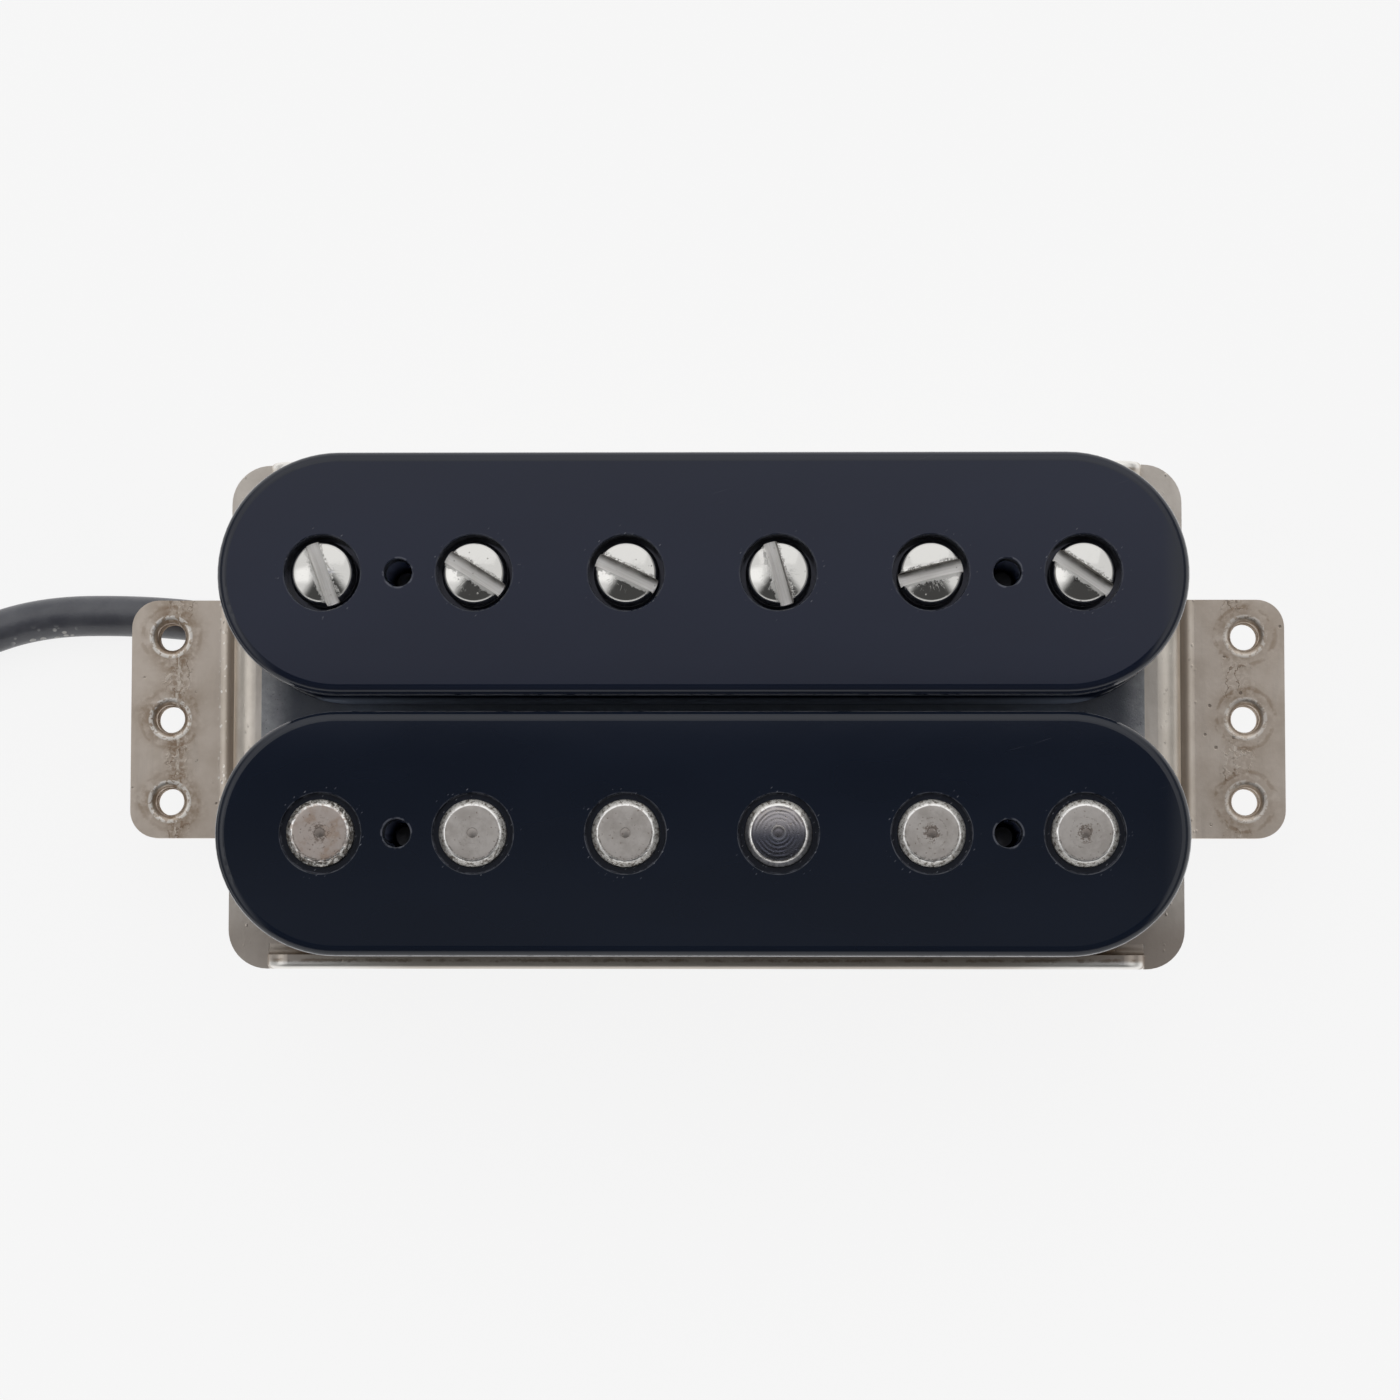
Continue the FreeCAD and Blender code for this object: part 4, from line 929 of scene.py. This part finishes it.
def make_drain():
    """The bare shield wire at both ends, strands twisted, and its solder drop on the plate."""
    start = np.array(LEAD_ROUTE[0])
    root = start + [0.98, 0, 0]
    drop = (start[0] + 2.7, start[1])
    inner = [root - [0, 0, 0.7], root, root + [0, 0, 0.65], [*drop, root[2] + 0.65]]
    shells = [swept(followed("drain", way), 0.25, 28, lay=3.4) for way in (inner, far_route(DRAIN_END, 0.7))]
    drain = piece("drain_strands", mesh_of("drain", *shells), "bare_wire", ("drain_wire",), 60)
    profile = [(0.78, -0.01), (0.72, 0.03), (0.6, 0.14), (0.5, 0.3), (0.42, 0.48), (0.3, 0.62), (0.12, 0.69)]
    blob = turned([(radius, PLATE_TOP + height) for radius, height in profile], drop, 40,
                  lambda row, angle: 1 + 0.07 * np.sin(3 * angle + 0.8) * (row < 4))
    piece("solder_drop", mesh_of("solder", blob), "solder", ("ground_solder",), 60)
    return drain


def make_tie():
    """A strap round the coil's turns: a slot outline carried across its width, its outer edges taken off,
    and the locking head on top."""
    span, half_width, radius = COIL_PITCH * (COIL_TURNS - 1), 1.6, 1.95
    middle = np.array([COIL_CENTRE[0] - 20.5 + span / 2, -17.0, COIL_CENTRE[2]])
    _, base, out_x, out_z = slot_outline(span, 1.8, 96)
    section = [(radius - 0.29, -half_width), (radius - 0.02, -half_width), (radius, 0.25 - half_width),
               (radius, half_width - 0.25), (radius - 0.02, half_width), (radius - 0.29, half_width)]
    rows = [np.stack([base + out_x * reach, 0 * base + across, out_z * reach], axis=-1) + middle
            for reach, across in section + section[:1]]
    strap = skin(np.stack(rows), caps=False)
    head = block((3.2, 4.4, 1.7), middle + [1.4, 0, 2.55])
    tie = piece("lead_tie", outward(mesh_of("tie", strap, head)), "tie_plastic", ("cable_tie",), 40)
    bevel(tie, 0.12)
    return tie


def pole_place(number, y):
    return POLE_PITCH * number - ROW_LENGTH / 2, y


def make_pole_screws():
    """Six slotted screws: a domed head cut by its slot, over a threaded shank with a pointed tip."""
    face, radius, under, slot_width = 1.92, 2.25, 22.0, 0.92
    angle = np.linspace(math.pi / 2, 0.02, 14)
    side = [(1.2, under), (radius - 0.1, under), (radius, under + 0.1), (radius, under + 0.65),
            (radius - 0.015, under + 0.75)]
    rim = arc((face - 0.14, BOBBIN_TOP - 0.29), 0.32, 4, 64, 8)
    dome = list(zip(face * np.sin(angle), BOBBIN_TOP + 0.45 * np.cos(angle) ** 2))
    tip = [(1.05, 0.0), (1.2, 0.05), (1.3, 0.36), (0.9, 0.5)]
    for number, turn in enumerate(SLOT_TURNS):
        centre = pole_place(number, ROW_PITCH / 2)
        slot = block((9.0, slot_width, 4.0), (*centre, BOBBIN_TOP + 1.05), turn)
        rod = thread(centre, radius=1.56, low=0.35, high=under + 0.1, pitch=0.635, depth=0.3)
        mesh = slotted(turned(side + rim + dome, centre, 96), slot, rod, turned(tip, centre, 28))
        add_flat_map(mesh, centre, turn)
        piece(f"slotted_screw_{number + 1}", mesh, "pole_screw_nickel", (f"pole_screw_{number + 1}",), 20,
              f"pole_{number + 1}")


def make_slugs():
    """Six rods: a face, a small round at its edge, a slope of 45 degrees and the side. Each is ground a
    little unevenly, and holds a nub left by the lathe; the fourth, turned bright, is slightly domed."""
    waves, top, wide = 12, BOBBIN_TOP + SLUG_LIFT, SLUG_RADIUS - 0.03
    bottom = top - SLUG_LENGTH
    edge = arc((SLUG_FACE, top - 0.2), 0.2, 45, 90, 5)
    slope_foot = edge[0][1] - (wide - edge[0][0])
    side = [(1.9, bottom), (SLUG_RADIUS, bottom + 0.4), (SLUG_RADIUS, top - 1.0),
            (SLUG_RADIUS, slope_foot - 0.05), (wide, slope_foot)]
    for number, amount in enumerate(SLUG_WOBBLE):
        centre = pole_place(number, -ROW_PITCH / 2)
        draws = np.random.default_rng(40 + number)
        phase, size = draws.uniform(0, TAU, waves), draws.uniform(0.3, 1.0, waves)

        def wobble(row, angle):
            """A sum of sines of whole numbers of waves, on the rings of the slope and the edge's round."""
            uneven = sum(size[n] * np.sin((2 * n + 5) * angle + phase[n] + row * 0.4) for n in range(waves))
            return 1 + amount * uneven / 4 * ((row > 3) & (row < 10)) * np.where(row < 5, 0.3, 1.0)

        dome, rise = (0.035, 0.15) if number == BRIGHT_SLUG else (0.004, 1.0)
        inner = [(radius, top + dome * (1 - (radius / SLUG_FACE) ** 2)) for radius in (1.5, 1.0, 0.6, 0.37)]
        nub = [(radius, top + dome + rise * lift) for radius, lift in
               ((0.33, -0.03), (0.24, 0.0), (0.12, 0.02), (0.02, 0.025))]
        mesh = mesh_of("slug", turned(side + edge + inner + nub, centre, 120, wobble))
        add_flat_map(mesh, centre)
        piece(f"turned_slug_{number + 1}", mesh, "slug_steel", (f"slug_{number + 1}",), 30)


def make_fixing_screws():
    """Four small screws from below: a rounded head cut by its slot, and a threaded shank."""
    low, high, slot_width = PLATE_BOTTOM - 1.3, 16.5, 0.6
    profile = [(0.05, low), (1.15, low + 0.02), *arc((1.15, low + 0.65), 0.65, -80, 0, 7),
               (1.8, PLATE_BOTTOM - 0.02), (0.7, PLATE_BOTTOM - 0.01)]
    centres = [(x, y) for y in (ROW_PITCH / 2, -ROW_PITCH / 2) for x in (-FIXING_X, FIXING_X)]
    for number, centre in enumerate(centres, 1):
        slot = block((6.0, slot_width, 1.2), (*centre, low), 25 + 40 * number)
        rod = thread(centre, 0.89, PLATE_BOTTOM - 0.05, high, pitch=0.45, depth=0.2, columns=20)
        mesh = slotted(turned(profile, centre, 48), slot, rod)
        piece(f"small_screw_{number}", mesh, "fixing_screw_steel", (f"fixing_screw_{number}",))


def make_tapes():
    """The tape round each winding: a slot outline carried up its height, bulged a little over the wire, and a
    second layer where its end overlaps."""
    along, base, out_x, out_y = slot_outline(ROW_LENGTH, TAPE_OUTSIDE, 320)
    everywhere, lap = along >= 0, (along > 8) & (along < 19.5)
    for side, y in (("screw", ROW_PITCH / 2), ("slug", -ROW_PITCH / 2)):

        def ring(share, lift, choice=everywhere):
            """Points at one share of the height, lift millimetres out from the tape's face."""
            waves = 0.02 * np.sin(along[choice] * 0.9 + 5 * share) + 0.015 * np.sin(along[choice] * 2.3 + 2)
            bulge = -0.1 + 0.09 * math.sin(math.pi * share) + waves
            radius = TAPE_OUTSIDE + bulge * (lift > -0.2) + lift
            z = TAPE_BOTTOM + 0.06 + (TAPE_HEIGHT - 0.12) * share
            return np.stack([base[choice] + out_x[choice] * radius, y + out_y[choice] * radius,
                             np.full(choice.sum(), z)], axis=-1)

        rows = [ring(0, -0.3), *(ring(share, 0) for share in np.linspace(0, 1, 15)), ring(1, -0.3)]
        band = skin(np.stack(rows + rows[:1]), caps=False)
        layer = [ring(0.02, -0.05, lap), *(ring(share, 0.14, lap) for share in np.linspace(0.02, 0.98, 9)),
                 ring(0.98, -0.05, lap)]
        grid = np.stack(layer + layer[:1])
        points, faces = skin(grid, around=False, caps=False)
        index = np.arange(len(points)).reshape(grid.shape[:2])
        faces += [index[:-1, 0].tolist(), index[:-1, -1][::-1].tolist()]
        mesh = outward(mesh_of("tape", band, (points, faces)))

        def across(places):
            """Distance round the slot outline and height."""
            x, reach = abs(places[:, 0]), ROW_LENGTH / 2
            turn = np.arctan2(np.clip(x - reach, 0, None), abs(places[:, 1] - y))
            return np.stack([np.where(x > reach, reach + turn * TAPE_OUTSIDE, x), places[:, 2]], axis=-1)

        add_map(mesh, across)
        piece(f"{side}_tape", mesh, "coil_tape", (f"{side}_coil_tape",))


def make_leg_threads():
    """A thread's ridge inside each tapped hole of the feet: a four-cornered section that winds up the bore."""
    turns, per_turn, pitch, low = 3.1, 24, 0.45, 4.32
    angle = np.linspace(0, TAU * turns, int(turns * per_turn))[:, None]
    fade = np.clip(np.minimum(angle, TAU * turns - angle) / 1.2, 0.02, 1)
    out, up = np.array([[0.03, -0.5], [-1.0, -0.08], [-1.0, 0.08], [0.03, 0.5]]).T
    radius = LEG_HOLE + np.where(out > 0, 0.03, out * 0.05 * fade)
    z = low + pitch * angle / TAU + up * pitch * 0.42 * fade
    shells = [rings((x, y), radius, angle, z) for x in (-LEG_HOLE_X, LEG_HOLE_X)
              for y in (-LEG_HOLE_PITCH, 0.0, LEG_HOLE_PITCH)]
    piece("leg_hole_threads", outward(mesh_of("leg_threads", *shells)), "nickel_silver", crease=50)


def set_camera():
    """Over the bobbins, 266 mm up, tilted 4 degrees towards the slugs' side and 1 degree sideways."""
    eye = bpy.data.cameras.new("camera")
    eye.lens = 100.3
    eye.sensor_width = 36.0
    carrier = placed("camera", eye)
    tilt = Matrix.Rotation(0.0690, 3, "X") @ Matrix.Rotation(0.0188, 3, "Y")
    tilt = tilt @ Matrix.Rotation(-0.0003, 3, "Z")
    spot = tilt @ Vector((0, 0, 265.693 * MM)) + Vector((-0.1468 * MM, 0.1802 * MM, 23.5 * MM))
    carrier.matrix_world = Matrix.Translation(spot) @ tilt.to_4x4()
    bpy.context.scene.camera = carrier


def area_light(name, spot, aim, size, power):
    """A rectangular soft box at a spot, facing a point, both in metres."""
    lamp = bpy.data.lights.new(name, "AREA")
    lamp.shape = "RECTANGLE"
    lamp.size, lamp.size_y = size
    lamp.energy = power
    direction = (Vector(aim) - Vector(spot)).to_track_quat("-Z", "Y").to_matrix().to_4x4()
    placed(name, lamp).matrix_world = Matrix.Translation(spot) @ direction


def make_floor():
    """A white floor that keeps a soft shadow: most of what the camera, mirrors and glass see of it shines."""
    finish = Finish("pale_floor", (0.82, 0.82, 0.82), 0.8, specular=0.1)
    rays = finish.nodes.new("ShaderNodeLightPath").outputs
    seen = sum(Field(finish, rays[f"Is {kind} Ray"]) for kind in ("Camera", "Glossy", "Transmission"))
    shine = finish.add("ShaderNodeEmission", None, (1.0, 1.0, 1.0), 1.0)
    mix = finish.add("ShaderNodeMixShader", None, seen.at_most(1.0) * 0.86, finish.shader.outputs[0], shine)
    finish.links.new(mix.socket, finish.nodes["Material Output"].inputs["Surface"])
    corners = np.array([[-1, -1, 0], [1, -1, 0], [1, 1, 0], [-1, 1, 0]], float) * 2500
    floor = placed("floor", mesh_of("floor", (corners, [[0, 1, 2, 3]])))
    floor.data.materials.append(finish.material)


def set_stage():
    """The floor, two soft boxes, and a pale room with the camera's dark shape in it, a dimmer and bluer band
    beyond that, a window and darker corners. The world's strength goes by the angles, in degrees, at which a
    direction leans from straight up."""
    make_floor()
    world = bpy.data.worlds.new("studio")
    world.use_nodes = True
    bpy.context.scene.world = world
    sky = Nodes(world.node_tree)
    x, y, z = sky.parts(sky.add("ShaderNodeTexCoord"))
    lean = y.math("ARCTAN2", z) * (360 / TAU)
    side = x.math("ARCTAN2", z) * (360 / TAU)
    dark = lean.inside(-76.0, -62.0, 3.65, 4.15) * (abs(side - 1.5) - abs(lean) * 0.75).between(27.0, 7.0)
    half = lean.inside(3.65, 4.15, 6.5, 10.5) * side.near(-1.0, 20.0, 11.0)
    glow = lean.inside(-4.0, -1.0, 0.5, 3.9) * 0.18 + lean.between(-9.0, -16.0) * 0.05
    dimmed = half * (0.29 - lean.between(4.6, 8.2) * 0.11 - abs(side + 1.0).between(2.5, 7.5) * 0.05)
    window = side.inside(-60.0, -50.0, -34.0, -24.0) * lean.inside(-20.0, -8.0, 12.0, 24.0)
    low = z.between(0.58, 0.40) * abs(x).between(0.6, 0.85)
    level = (0.82 + window * 0.35 - low * 0.55 - dimmed) * (1.0 - dark * (0.97 - glow))
    seen = Field(sky, sky.nodes.new("ShaderNodeLightPath").outputs["Is Camera Ray"])
    background = sky.nodes["Background"].inputs
    sky.fill(background["Color"], sky.blend(half, (1.0, 1.0, 1.0), (1.0, 1.02, 1.24)))
    sky.fill(background["Strength"], level.at_least(seen))

    area_light("box_back", (0.0, 0.55, 0.6), (0, 0, 0.01), (1.0, 0.6), 0.3)
    area_light("box_front", (0.0, -0.6, 0.28), (0, 0, 0.01), (1.0, 0.2), 0.16)


bpy.context.scene.view_settings.view_transform = "Standard"
dress_cad()
set_camera()
lead, lead_path = make_lead()
on_lead = make_wires()
drain = make_drain()
tie = make_tie()
make_pole_screws()
make_slugs()
make_fixing_screws()
make_tapes()
make_leg_threads()
set_stage()

(lead_path * MM).tolist()

bpy.context.view_layer.update()
